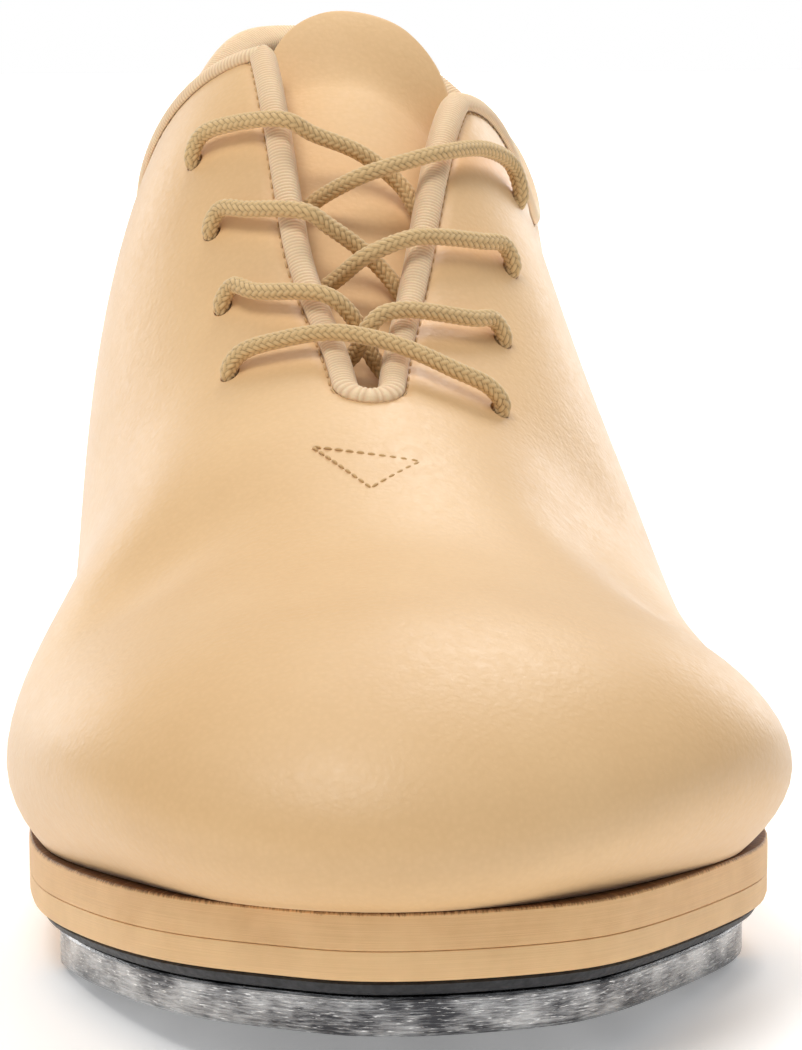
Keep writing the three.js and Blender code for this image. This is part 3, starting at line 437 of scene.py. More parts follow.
def grid_faces(columns, rows, start=0, closed=False, ring=False):
    """Quads of a grid of points, [column, row]. closed joins its last column to the first, ring its rows."""
    i = np.arange(columns if closed else columns - 1)[:, None]
    j = np.arange(rows if ring else rows - 1)[None, :]
    k = (i + 1) % columns
    m = (j + 1) % rows
    quads = np.stack([i * rows + j, k * rows + j, k * rows + m, i * rows + m], -1)
    return (quads.reshape(-1, 4) + start).tolist()


def tubes(name, rings):
    """Closed tubes from their rings of points, [tube, ring, side]."""
    count, steps, sides = rings.shape[:3]
    size = steps * sides
    faces = []
    for start in range(0, count * size, size):
        faces += [[a, d, c, b] for a, b, c, d in grid_faces(steps, sides, start, ring=True)]
        faces.append(list(range(start, start + sides))[::-1])
        faces.append(list(range(start + size - sides, start + size)))
    return mesh_object(name, rings.reshape(-1, 3), faces)


def shell(name, outer, inner, joined=None):
    """A closed shell between two grids of points, [column, row].

    Where joined is true, two sides of the grid meet at their last rows, so no wall is made there."""
    columns, rows = outer.shape[:2]
    size = columns * rows
    faces = grid_faces(columns, rows)
    faces += [face[::-1] for face in grid_faces(columns, rows, size)]
    for i in range(columns - 1):
        a, b = i * rows, (i + 1) * rows
        faces.append([a, a + size, b + size, b])
        if joined is None or not (joined[i] and joined[i + 1]):
            faces.append([a + rows - 1, b + rows - 1, b + rows - 1 + size, a + rows - 1 + size])
    end = size - rows
    for j in range(rows - 1):
        faces.append([j, j + 1, j + 1 + size, j + size])
        faces.append([end + j, end + j + size, end + j + 1 + size, end + j + 1])
    points = np.concatenate([outer.reshape(-1, 3), inner.reshape(-1, 3)])
    return weld(mesh_object(name, points, faces))


def cut(obj, cutter):
    """Subtracts a cutter from a mesh, for good."""
    boolean = obj.modifiers.new("cut", "BOOLEAN")
    boolean.operation = "DIFFERENCE"
    boolean.solver = "EXACT"
    boolean.object = cutter
    bpy.context.view_layer.update()
    depsgraph = bpy.context.evaluated_depsgraph_get()
    mesh = bpy.data.meshes.new_from_object(obj.evaluated_get(depsgraph))
    obj.modifiers.clear()
    obj.data = mesh
    obj.data.shade_smooth()
    obj.data.set_sharp_from_angle(angle=math.radians(SHARP_CUT))


def place(obj, material, *nodes, slot=None, body="shoe"):
    """Dresses a piece, lets it ride on its body and hides the CAD nodes that it stands for."""
    obj.data.materials.clear()
    obj.data.materials.append(MATERIALS[material])
    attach(obj, body)
    if nodes:
        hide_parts(*nodes)


# ---- Materials ----


class Graph:
    """A material's node tree with short calls."""

    def __init__(self, name):
        self.material = bpy.data.materials.new(name)
        self.material.use_nodes = True
        self.tree = self.material.node_tree
        self.shader = self.tree.nodes["Principled BSDF"]

    def node(self, kind, inputs=(), **settings):
        made = self.tree.nodes.new(kind)
        for key, value in settings.items():
            setattr(made, key, value)
        for key, value in dict(inputs).items():
            self.put(made.inputs[key], value)
        return made

    def put(self, socket, value):
        if isinstance(value, bpy.types.NodeSocket):
            self.tree.links.new(value, socket)
        else:
            socket.default_value = value

    def set(self, **sockets):
        for key, value in sockets.items():
            self.put(self.shader.inputs[key.replace("_", " ")], value)

    def coords(self, scale=(1, 1, 1), source="Object"):
        """Coordinates in metres times scale, in the row frame, or the piece's own UV run."""
        base = self.node("ShaderNodeTexCoord").outputs[source]
        return self.node("ShaderNodeMapping", {"Vector": base, "Scale": scale}).outputs["Vector"]

    def noise(self, scale, detail=3, roughness=0.5, vector=None, distortion=0):
        inputs = {
            "Vector": vector or self.coords(),
            "Scale": scale,
            "Detail": detail,
            "Roughness": roughness,
            "Distortion": distortion,
        }
        return self.node("ShaderNodeTexNoise", inputs).outputs["Fac"]

    def cells(self, scale, feature="F1"):
        inputs = {"Vector": self.coords(), "Scale": scale}
        return self.node("ShaderNodeTexVoronoi", inputs, feature=feature).outputs["Distance"]

    def attribute(self, name):
        return self.node("ShaderNodeAttribute", attribute_name=name).outputs["Fac"]

    def ramp(self, value, stops):
        made = self.node("ShaderNodeValToRGB", {"Fac": value})
        elements = made.color_ramp.elements
        elements[0].position, elements[0].color = stops[0][0], (*stops[0][1], 1)
        elements[1].position, elements[1].color = stops[-1][0], (*stops[-1][1], 1)
        for position, color in stops[1:-1]:
            elements.new(position).color = (*color, 1)
        return made.outputs["Color"]

    def span(self, value, low, high, to_low=0.0, to_high=1.0):
        inputs = {"Value": value, "From Min": low, "From Max": high, "To Min": to_low, "To Max": to_high}
        return self.node("ShaderNodeMapRange", inputs).outputs["Result"]

    def math(self, operation, a, b):
        return self.node("ShaderNodeMath", {0: a, 1: b}, operation=operation).outputs[0]

    def weigh(self, a, share_a, b, share_b):
        return self.math("ADD", self.math("MULTIPLY", a, share_a), self.math("MULTIPLY", b, share_b))

    def mix(self, fac, a, b, blend="MIX"):
        made = self.node("ShaderNodeMix", data_type="RGBA", blend_type=blend)
        for index, value in ((0, fac), (6, a), (7, b)):
            if isinstance(value, tuple):
                value = (*value, 1)
            self.put(made.inputs[index], value)
        return made.outputs[2]

    def finish(self, color, rough, layers, **sockets):
        """Ends a material: its colour, its roughness as a span, and its bump layers.

        A layer is (height, strength, distance in metres), coarse first."""
        self.set(Base_Color=color, Roughness=self.span(*rough), **sockets)
        normal = None
        for height, strength, distance in layers:
            inputs = {"Height": height, "Strength": strength, "Distance": distance}
            if normal is not None:
                inputs["Normal"] = normal
            normal = self.node("ShaderNodeBump", inputs).outputs["Normal"]
        self.put(self.shader.inputs["Normal"], normal)
        return self.material


def leather_material(name, light, deep, roughness=0.44):
    """Smooth grain leather: fine pebbles and pores, soft cloudy tone, a slight surface glow, and a little
    painted shade that darkens the colour between the pebbles.
    """
    g = Graph(name)
    tone = g.weigh(g.noise(30), 0.85, g.noise(160), 0.15)
    color = g.ramp(tone, [(0.3, deep), (0.7, light)])
    pebble = g.cells(1500, "SMOOTH_F1")
    pores = g.cells(3100)
    creases = g.noise(750, 4, 0.65, distortion=0.6)
    # Painted shade: the colour is darkened a little in the crevices between the grain's pebbles.
    pebble_crevice_shade = g.span(pebble, 0.05, 0.6, 1.0, 0.94)
    shade = g.ramp(pebble_crevice_shade, [(0.9, (0.95, 0.94, 0.92)), (1.0, (1, 1, 1))])
    return g.finish(
        g.mix(1.0, color, shade, "MULTIPLY"),
        (creases, 0.3, 0.7, roughness - 0.05, roughness + 0.08),
        [
            (g.noise(60, 2), 0.1, 0.001),
            (creases, 0.24, 0.0002),
            (pebble, 0.28, 0.00012),
            (pores, 0.06, 0.00006),
        ],
        Specular_IOR_Level=0.5,
        Sheen_Weight=0.16,
        Sheen_Roughness=0.35,
    )


def cloth_material(name, light, deep):
    """Plain woven cloth: threads that stand up the walls, crossed by threads that run round them."""
    g = Graph(name)
    upright = g.noise(1, 2, vector=g.coords((2200, 2200, 160)))
    round_wall = g.noise(1, 2, vector=g.coords((160, 160, 2200)))
    weave = g.math("MAXIMUM", upright, round_wall)
    fuzz = g.noise(2600, 4, 0.7)
    tone = g.weigh(weave, 0.45, g.noise(60, 3, 0.6), 0.55)
    return g.finish(
        g.ramp(tone, [(0.38, deep), (0.66, light)]),
        (fuzz, 0.2, 0.8, 0.82, 0.96),
        [(weave, 0.35, 0.00015), (fuzz, 0.25, 0.0001)],
        Sheen_Weight=0.25,
        Specular_IOR_Level=0.2,
    )


def knit_material(name, light, deep):
    """Ribbed knit tape: the ribs are in the mesh, the loops and the fuzz are here, and the colour holds
    painted shade in the grooves between the ribs, lighter on their crowns.
    """
    g = Graph(name)
    loops = g.cells(2600, "SMOOTH_F1")
    fuzz = g.noise(3800, 4, 0.75)
    # Painted shade: the rib attribute darkens the colour in the rib grooves and lightens it on the crowns.
    tone = g.weigh(g.attribute("rib"), 0.62, g.noise(90, 4, 0.6), 0.38)
    return g.finish(
        g.ramp(tone, [(0.12, deep), (0.7, light)]),
        (fuzz, 0.2, 0.8, 0.8, 0.95),
        [(loops, 0.35, 0.00012), (fuzz, 0.3, 0.00008)],
        Sheen_Weight=0.35,
        Sheen_Roughness=0.5,
        Specular_IOR_Level=0.18,
        Subsurface_Weight=0.1,
        Subsurface_Scale=0.0008,
    )


def lace_material(name, light, deep):
    """Braided cotton: the strands are in the mesh, the fibres are here, and the crevices between the strands
    are painted dark as painted shade.
    """
    g = Graph(name)
    fibre = g.noise(5200, 3, 0.7)
    # Painted shade: the strand attribute, 0 in the braid's crevices, pulls the colour towards the deep tone
    # there.
    tone = g.weigh(g.attribute("strand"), 0.75, g.noise(700, 3, 0.6), 0.3)
    return g.finish(
        g.ramp(tone, [(0.05, deep), (0.4, lerp3(deep, light, 0.8)), (0.95, light)]),
        (fibre, 0.2, 0.8, 0.72, 0.9),
        [(fibre, 0.35, 0.0001)],
        Sheen_Weight=0.3,
        Specular_IOR_Level=0.25,
    )


def lerp3(a, b, t):
    return tuple(lerp(x, y, t) for x, y in zip(a, b))


def sole_material(name, light, deep, stain=None):
    """Trimmed leather edge: fine streaks along the cut, blotches, and a ragged stain at the top."""
    g = Graph(name)
    uv = g.coords((1, 1, 1), "UV")
    streaks = g.noise(1, 5, 0.7, g.coords((0.05, 9, 1), "UV"))
    blotch = g.noise(0.12, 3, 0.6, uv)
    tone = g.weigh(streaks, 0.6, blotch, 0.4)
    color = g.ramp(tone, [(0.36, deep), (0.6, light)])
    if stain:
        level = g.node("ShaderNodeSeparateXYZ", {0: g.node("ShaderNodeTexCoord").outputs["UV"]}).outputs["Y"]
        ragged = g.noise(1, 4, 0.8, g.coords((2.2, 0.6, 1), "UV"))
        edge = g.math("ADD", level, g.math("MULTIPLY", ragged, 1.1))
        color = g.mix(g.span(edge, 0.1, 0.45), color, stain)
    scratches = g.noise(1, 4, 0.7, g.coords((0.4, 22, 1), "UV"))
    return g.finish(
        color,
        (streaks, 0.3, 0.7, 0.46, 0.64),
        [(streaks, 0.25, 0.0002), (scratches, 0.18, 0.0001)],
        Specular_IOR_Level=0.35,
        Subsurface_Weight=0.05,
        Subsurface_Scale=0.001,
    )


def metal_material(name, light, deep, bright, run=1.0, source="UV"):
    """Ground metal with painted reflections: broad dark and bright areas in the colour stand in for mottled
    reflections, and fine scratches along the edge are painted bright as glints.

    run is how many millimetres one coordinate unit makes."""
    g = Graph(name)

    def grain(along, across, detail, roughness):
        return g.noise(1, detail, roughness, g.coords((along * run, across * run, across * run), source))

    # Painted reflection: broad areas swing the colour between the deep and light tones, and the scratches are
    # painted in the bright tone as glints.
    reflection_patches = grain(0.09, 0.12, 3, 0.55)
    brushed = grain(0.3, 3.2, 5, 0.7)
    scratch_glints = grain(0.55, 4.6, 3, 0.6)
    tone = g.weigh(reflection_patches, 0.6, brushed, 0.4)
    ground = g.ramp(tone, [(0.42, deep), (0.58, light)])
    glint_mask = g.span(scratch_glints, 0.58, 0.72)
    return g.finish(
        g.mix(glint_mask, ground, bright),
        (brushed, 0.35, 0.7, 0.16, 0.36),
        [(brushed, 0.35, 0.00015), (scratch_glints, 0.35, 0.00015)],
        Metallic=1.0,
        Anisotropic=0.3,
    )


def board_material(name, light, deep, roughness=0.5):
    g = Graph(name)
    fibres = g.noise(700, 5, 0.7)
    return g.finish(
        g.ramp(fibres, [(0.35, deep), (0.7, light)]),
        (g.noise(1500, 3), 0.3, 0.7, roughness - 0.08, roughness + 0.12),
        [(fibres, 0.25, 0.0002)],
        Specular_IOR_Level=0.4,
    )


def plastic_material(name, light, deep):
    g = Graph(name)
    return g.finish(
        g.ramp(g.noise(900, 3), [(0.4, deep), (0.6, light)]),
        (g.noise(2500, 2), 0.3, 0.7, 0.18, 0.3),
        [(g.noise(1400, 2), 0.1, 0.0001)],
        Coat_Weight=0.3,
    )


FEATHER_STAIN = (0.15, 0.06, 0.02)
IN_METRES = (1000, "Object")
# Each material: its function, its name, its light and deep tones, and what else that function takes.
LOOKS = [
    (leather_material, "tan_leather", (0.85, 0.56, 0.285), (0.79, 0.50, 0.24)),
    (leather_material, "tongue_leather", (0.85, 0.56, 0.285), (0.80, 0.51, 0.245), 0.62),
    (cloth_material, "lining_cloth", (0.62, 0.43, 0.27), (0.46, 0.30, 0.18)),
    (knit_material, "binding_knit", (0.93, 0.70, 0.445), (0.74, 0.49, 0.285)),
    (lace_material, "seam_thread", (0.72, 0.46, 0.21), (0.44, 0.24, 0.095)),
    # lace_cord's deep tone is the painted shade in the braid's crevices.
    (lace_material, "lace_cord", (0.80, 0.56, 0.275), (0.30, 0.17, 0.065)),
    (plastic_material, "lace_tip", (0.75, 0.6, 0.42), (0.62, 0.47, 0.3)),
    (sole_material, "sole_leather", (0.90, 0.57, 0.275), (0.76, 0.45, 0.20), FEATHER_STAIN),
    (sole_material, "outsole_leather", (0.92, 0.60, 0.30), (0.80, 0.50, 0.235)),
    (sole_material, "heel_leather", (0.70, 0.44, 0.22), (0.55, 0.32, 0.14)),
    (board_material, "black_board", (0.035, 0.035, 0.038), (0.012, 0.012, 0.013)),
    # The metals' deep and bright tones are painted reflections and glints, strongest on tap_metal.
    (metal_material, "tap_metal", (0.50, 0.50, 0.50), (0.06, 0.06, 0.065), (0.9, 0.9, 0.89)),
    (metal_material, "screw_steel", (0.5, 0.5, 0.5), (0.3, 0.3, 0.31), (0.75, 0.75, 0.74), *IN_METRES),
    (metal_material, "shank_steel", (0.45, 0.45, 0.46), (0.25, 0.25, 0.26), (0.65, 0.65, 0.64), *IN_METRES),
    (board_material, "fibre_board", (0.42, 0.29, 0.17), (0.3, 0.2, 0.11), 0.8),
    (board_material, "cork", (0.42, 0.26, 0.13), (0.2, 0.11, 0.05), 0.85),
    (board_material, "foam", (0.8, 0.7, 0.5), (0.66, 0.56, 0.38), 0.85),
]
MATERIALS = {name: make(name, *look) for make, name, *look in LOOKS}

# ---- Camera, floor and light ----
VIEW_TARGET = (3.73, 60.0, 54.85)
VIEW_AZIMUTH = -3.46
VIEW_ELEVATION = 10.5
VIEW_DISTANCE = 521.9
LENS = 148.6
AMBIENT = 0.34
FLOOR_GLOW = 0.22
SENSOR = 36.0
FLOOR_SIDE = 2
FLOOR_FRONT = -1.2
FLOOR_BACK = 1.3
FLOOR_DROP = 0.0002


def add_camera():
    azimuth = math.radians(VIEW_AZIMUTH)
    elevation = math.radians(VIEW_ELEVATION)
    flat = math.cos(elevation)
    back = Vector((math.sin(azimuth) * flat, -math.cos(azimuth) * flat, math.sin(elevation)))
    data = bpy.data.cameras.new("camera")
    data.lens = LENS
    data.sensor_fit = "VERTICAL"
    data.sensor_height = SENSOR
    data.clip_start = 0.01
    camera = new_object("camera", data)
    camera.location = Vector(to_row(VIEW_TARGET)) + back * (VIEW_DISTANCE / 1000)
    camera.rotation_euler = (-back).to_track_quat("-Z", "Y").to_euler()
    bpy.context.scene.camera = camera


def add_light(name, spot, aim, size, power, color=(1, 1, 1), spread=180):
    data = bpy.data.lights.new(name, "AREA")
    data.shape = "DISK"
    data.size = size
    data.energy = power
    data.color = color
    data.spread = math.radians(spread)
    light = new_object(name, data)
    light.location = spot
    light.rotation_euler = (Vector(aim) - Vector(spot)).to_track_quat("-Z", "Y").to_euler()


def add_world():
    """White where the camera sees it, but a dim, slightly blue light on the shoe."""
    world = bpy.data.worlds.new("studio")
    world.use_nodes = True
    nodes, links = world.node_tree.nodes, world.node_tree.links
    white = nodes["Background"]
    white.inputs["Color"].default_value = (1, 1, 1, 1)
    dim = nodes.new("ShaderNodeBackground")
    dim.inputs["Color"].default_value = (0.93, 0.96, 1.0, 1)
    dim.inputs["Strength"].default_value = AMBIENT
    mix = nodes.new("ShaderNodeMixShader")
    links.new(nodes.new("ShaderNodeLightPath").outputs["Is Camera Ray"], mix.inputs[0])
    links.new(dim.outputs[0], mix.inputs[1])
    links.new(white.outputs[0], mix.inputs[2])
    links.new(mix.outputs[0], nodes["World Output"].inputs["Surface"])
    bpy.context.scene.world = world


def add_floor():
    left, right = -FLOOR_SIDE, FLOOR_SIDE
    corners = [(left, FLOOR_FRONT, 0), (right, FLOOR_FRONT, 0), (right, FLOOR_BACK, 0), (left, FLOOR_BACK, 0)]
    mesh = bpy.data.meshes.new("floor")
    mesh.from_pydata(corners, [], [(0, 1, 2, 3)])
    floor = new_object("floor", mesh)
    g = Graph("pale_floor")
    g.set(
        Base_Color=g.ramp(g.noise(4, 2), [(0.3, (0.95, 0.95, 0.95)), (0.7, (0.97, 0.97, 0.97))]),
        Roughness=0.9,
        Emission_Color=(1, 1, 1, 1),
        Emission_Strength=FLOOR_GLOW,
    )
    mesh.materials.append(g.material)
    floor.location.z = -FLOOR_DROP


def add_studio():
    bpy.context.scene.view_settings.view_transform = "Standard"
    add_world()
    add_light("key", (-0.3, -0.42, 1.1), (0, -0.05, 0.04), 0.55, 6.6, (1.0, 0.985, 0.96))
    add_light("back", (0.3, 0.6, 0.95), (0, -0.05, 0.05), 0.5, 4.0)
    add_light("rim_left", (-0.55, 0.8, 0.22), (-0.03, 0, 0.06), 0.4, 1.25)
    add_light("rim_right", (0.55, 0.8, 0.22), (0.03, 0, 0.06), 0.4, 1.5)
    add_light("backdrop", (0, 1.1, 1.2), (0, 1.1, 0), 1.4, 10.0, spread=80)
    add_floor()


# ---- Lace routes, point for point as in the part's source ----
UNDER = -5.5
OVER = 2.9
REST = 2.3
LACE_WALL_ROOM = 6.4
END_START = 2.6
BAR_SAG = 1
# Into a hole: (reach from the hole outwards, height over the skin), then behind it (reach, along).
MOUTH = [(-2.2, 1.9), (0, 0.3), (0, -3)]
BEHIND = (-1.6, 0.6)
# A free end: heights on the way down the wall, (along, height) of its bend, and its run along the sock.
DOWN_HEIGHTS = (80, 70, 60, 50)
BEND = [(12, 5), (17, 0.4)]
BACK_RUN = (25, 60.1, 7)
ON_TOP = (-0.04, 0.3, -3.4, 0.9, 2.5)
BENEATH = (0.45, 0.2, -4.6, -2.4, 0.6)
MIDSOLE_TOP = -GAP
INSOLE_BOARD = 1.8
BOARD_HIGH = LEATHER + LINING + 2 * GAP + INSOLE_BOARD
CUSHION = 2.6
CUSHION_FROM = 180
CUSHION_LEAD = 8
CUSHION_FADE = 12
SOCK = 1


def over_skin(offset, along, height):
    p = last_top(throat_middle(along) + offset, along)
    return p + skin_normal(p) * height


def hole(side, row):
    return (MEDIAL_HOLES if side < 0 else LATERAL_HOLES)[row]


def behind_hole(side, row):
    along, distance = hole(side, row)
    return over_skin(side * (distance + BEHIND[0]), along + BEHIND[1], UNDER)


def into_hole(side, row):
    along, distance = hole(side, row)
    mouth = [over_skin(side * (distance + reach), along, height) for reach, height in MOUTH]
    return [*mouth, behind_hole(side, row)]


def crossing(side, row):
    """From under one quarter, across the slit and over the other quarter to its next hole."""
    from_along, from_distance = hole(side, row)
    to_along, to_distance = hole(-side, row + 1)
    other = -side
    halfway, reached, rising, centre, landing = ON_TOP if other > 0 else BENEATH
    middle = lerp(from_along, to_along, halfway)
    leave = lerp(from_along, middle, 0.55)
    arrive = lerp(middle, to_along, reached)
    gap, leave_gap, arrive_gap = (float(throat_half_gap(at)) for at in (middle, leave, arrive))
    spots = [
        (side * from_distance * 0.62, lerp(from_along, leave, 0.6), UNDER),
        (side * (leave_gap + 1.5), leave, UNDER),
        (side * (gap - 2.1), lerp(leave, middle, 0.6), rising),
        (0, middle, centre),
        (other * (gap - 2), lerp(middle, arrive, 0.5), landing),
        (other * (arrive_gap + 0.4), arrive, OVER),
        (other * to_distance * 0.72, lerp(arrive, to_along, 0.6), REST),
    ]
    return [over_skin(*spot) for spot in spots]


def bottom_bar():
    medial_along, medial_distance = MEDIAL_HOLES[0]
    lateral_along, lateral_distance = LATERAL_HOLES[0]
    spots = [(0.22, REST + 0.2), (0.38, OVER), (0.5, OVER), (0.62, OVER), (0.8, REST + 0.2)]
    return [
        over_skin(
            lerp(-medial_distance, lateral_distance, t),
            float(lerp(medial_along, lateral_along, smooth(t))) - BAR_SAG,
            height,
        )
        for t, height in spots
    ]


def lace_route():
    def strand(side):
        return (
            crossing(side, 0) + into_hole(-side, 1) + crossing(-side, 1)
            + into_hole(side, 2) + crossing(side, 2) + into_hole(-side, 3)
        )

    medial = into_hole(-1, 0) + strand(-1)
    lateral = into_hole(1, 0) + strand(1)
    return lateral[::-1] + bottom_bar()[::-1] + medial


def wall_point(side, along, z):
    """A point inside the shoe, beside its wall."""
    middle = centre_x(along)
    wall, _ = bisect(0.0, 60.0, lambda reach: last_field(middle + side * reach, along, z) < 1, COARSE_STEPS)
    return np.array([middle + side * (wall - LACE_WALL_ROOM), along, z], float)


def sock_top(along):
    lift = (CUSHION + GAP) * smooth((along - CUSHION_FROM + CUSHION_LEAD) / CUSHION_FADE)
    return feather_height(along) + BOARD_HIGH + GAP + lift + SOCK


def free_end_route(side):
    """From behind the top hole down the wall, round a bend and back along the sock."""
    along, _ = hole(side, 3)
    down = [wall_point(side, along + 3 + 2 * i, z) for i, z in enumerate(DOWN_HEIGHTS)]

    def floor(at):
        return float(sock_top(at)) + LACE_RADIUS + GAP

    turn = [wall_point(side, along + on, floor(along + on) + height) for on, height in BEND]
    first, last, step = BACK_RUN
    back = [wall_point(side, at, floor(at)) for at in np.arange(along + first, along + last, step)]
    return [behind_hole(side, 3), *down, *turn, *back]


def centripetal(points, step):
    """A centripetal Catmull-Rom curve through points, resampled at an even step."""
    points = np.asarray(points, float)
    first = 2 * points[0] - points[1]
    last = 2 * points[-1] - points[-2]
    control = np.vstack([first, points, last])
    fine = []
    for i in range(len(points) - 1):
        p0, p1, p2, p3 = control[i : i + 4]
        d = [max(np.linalg.norm(b - a) ** 0.5, 1e-4) for a, b in ((p0, p1), (p1, p2), (p2, p3))]
        m1 = ((p1 - p0) / d[0] - (p2 - p0) / (d[0] + d[1]) + (p2 - p1) / d[1]) * d[1]
        m2 = ((p2 - p1) / d[1] - (p3 - p1) / (d[1] + d[2]) + (p3 - p2) / d[2]) * d[1]
        t = np.linspace(0, 1, 24, endpoint=False)[:, None]
        fine.append(
            (2 * t**3 - 3 * t**2 + 1) * p1 + (t**3 - 2 * t**2 + t) * m1
            + (3 * t**2 - 2 * t**3) * p2 + (t**3 - t**2) * m2
        )
    return resample(np.vstack([*fine, points[-1:]]), step)


def resample(points, step):
    whole = running_length(points)[-1]
    count = max(int(round(whole / step)), 2)
    return at_lengths(points, np.linspace(0, whole, count + 1))


def path_frames(path):
    """Unit side vectors along a path, carried along without twist."""
    tangent = unit(np.gradient(path, axis=0))
    side = np.zeros_like(path)
    side[0] = unit(np.cross(tangent[0], (0.3, 0.2, 0.9)))
    for i in range(1, len(path)):
        side[i] = unit(side[i - 1] - tangent[i] * np.dot(side[i - 1], tangent[i]))
    return side, np.cross(tangent, side)


BRAID_CELLS = 8
BRAID_CELL = 0.95
BRAID_SAMPLES = 40
BRAID_STEP = 0.19
BRAID_RELIEF = 0.19
TAPER_LENGTH = 0.5
TAPER_LEAST = 0.15


def braid_height(u, run):
    """Relief of a two-over-two braid, 0 in the crevices and 1 on the strands' crowns."""
    p = u * BRAID_CELLS + run / BRAID_CELL
    q = u * BRAID_CELLS - run / BRAID_CELL
    i, j = np.floor(p), np.floor(q)
    fp, fq = p - i, q - j
    k = np.mod(i + j, 4)
    across = np.where(k < 2, fp, fq)
    place_in_float = np.where(k < 2, fq, fp) + np.where(np.mod(k, 2) == 1, 1, 0)
    return np.sin(np.pi * across) ** 0.7 * np.sin(np.pi * place_in_float / 2) ** 0.6


def braided_cord(name, route):
    path = centripetal(route, BRAID_STEP)
    side, up = path_frames(path)
    run = np.arange(len(path)) * BRAID_STEP
    u = np.arange(BRAID_SAMPLES) / BRAID_SAMPLES
    relief = braid_height(u[None, :], run[:, None])
    radius = LACE_RADIUS + BRAID_RELIEF * (relief - 0.5)
    from_end = np.minimum(run, run[-1] - run)
    taper = np.sin(np.pi / 2 * np.clip(from_end / TAPER_LENGTH + TAPER_LEAST, 0, 1))
    radius = radius * taper[:, None]
    ring = circle(BRAID_SAMPLES, side[:, None], up[:, None])
    obj = tubes(name, (path[:, None] + ring * radius[..., None])[None])
    # The strand relief also paints shade into the lace's colour, dark in the crevices.
    add_attribute(obj, "strand", relief.ravel())
    return obj, path


def add_attribute(obj, name, values):
    layer = obj.data.attributes.new(name, "FLOAT", "POINT")
    layer.data.foreach_set("value", np.asarray(values, np.float32))


def add_laces():
    lace, _ = braided_cord("lace_braid", lace_route())
    place(lace, "lace_cord", "lace")
    for side, name in ((-1, "medial"), (1, "lateral")):
        route = free_end_route(side)
        route[0] = route[0] + unit(route[1] - route[0]) * END_START
        cord, path = braided_cord(f"lace_end_braid_{name}", route)
        place(cord, "lace_cord", f"lace_end_{name}")


# ---- Upper ----
HOLE_RADIUS = 1.45
HOLE_SIDES = 24
CUT_INWARD = 6
CUT_OUTWARD = 3
MARGIN = 12
RELIEF = 0.1
SEAM_DISTANCE = 2.6
SEAM_WIDTH = 0.75
SEAM_SINK = 0.3


def skin_relief(points):
    """Soft unevenness of the pulled leather, in millimetres."""
    x, along, z = np.moveaxis(points, -1, 0)
    waves = (
        np.sin(x / 7.3 + along / 13.1) * np.sin(along / 9.7 - z / 8.3 + 1.2)
        + 0.6 * np.sin(x / 4.1 - z / 5.2 + along / 17 + 0.6)
    )
    return RELIEF * waves * smooth((along - 30) / 40)


# Places where the pulled leather sinks in beside the vamp: (point on the skin, depth, spread).
HOLLOWS = [
    ((31, 80, 49), 2.4, 8),
    ((30, 97, 50), 2.2, 9),
    ((35, 66, 41), 1.2, 6),
    ((-19, 75, 54), 1.5, 6),
    ((-29, 71, 47), 2.2, 7),
]


def hollows(points):
    """Depth of the soft hollows in the whole wall of the upper, in millimetres."""
    depth = np.zeros(points.shape[:-1])
    for centre, deep, spread in HOLLOWS:
        apart = np.sum((points - np.array(centre, float)) ** 2, -1)
        depth += deep * np.exp(-apart / (2 * spread**2))
    return depth


def seam_groove(points):
    """The leather dips where the binding is sewn on."""
    distance = np.linalg.norm(points - SKIN[:, -1:], axis=-1)
    groove = np.exp(-(((distance - SEAM_DISTANCE) / SEAM_WIDTH) ** 2)) * SEAM_SINK
    return np.where(ON_RIDGE[:, None], 0.0, groove)


def with_margin(depth, rise):
    """The skin's grid at a depth, with the margin folded in under the last."""
    points = SKIN - NORMALS * depth[..., None]
    feather = SKIN[:, 0]
    corner = feather - unit(NORMALS[:, 0] * np.array([1, 1, 0])) * depth[:, 0, None]
    corner[:, 2] += rise
    points[:, 0] = corner
    direction = np.stack([RAY[1], RAY[2], np.zeros(RAY.shape[1])], -1)
    rows = []
    for reach in (MARGIN, MARGIN / 2, 1.2):
        row = feather - direction * reach
        row[:, 2] = feather_height(row[:, 1]) + rise
        rows.append(row)
    return np.concatenate([np.stack(rows, 1), points], 1)


def hole_cutters():
    rings = []
    for side in (-1, 1):
        for row in range(4):
            along, distance = hole(side, row)
            p = last_top(throat_middle(along) + side * distance, along)
            normal = skin_normal(p)
            across = unit(np.cross(normal, (0.1, 1, 0)))
            ring = p + circle(HOLE_SIDES, across, np.cross(normal, across)) * HOLE_RADIUS
            rings.append([ring - normal * CUT_INWARD, ring + normal * CUT_OUTWARD])
    return weld(tubes("hole_cutter", np.array(rings)))


def add_upper():
    cutter = hole_cutters()
    sunk = hollows(SKIN)
    relief = sunk - skin_relief(SKIN) + seam_groove(SKIN)
    relief[:, 0] = 0
    inside = LEATHER + sunk
    leather = shell("upper_leather", with_margin(relief, 0), with_margin(inside, LEATHER), joined=ON_RIDGE)
    cut(leather, cutter)
    place(leather, "tan_leather", "upper")
    depth = inner_depth(SKIN[..., 1]) + sunk
    rise = LEATHER + GAP
    outer = with_margin(depth - LINING, rise)
    lining = shell("lining_cloth", outer, with_margin(depth, rise + LINING), joined=ON_RIDGE)
    cut(lining, cutter)
    place(lining, "lining_cloth", "lining")
    bpy.data.objects.remove(cutter)


# ---- Binding and seams ----
RIB_PITCH = 0.6
RIB_SAMPLES = 4
RIB_DEPTH = 0.075
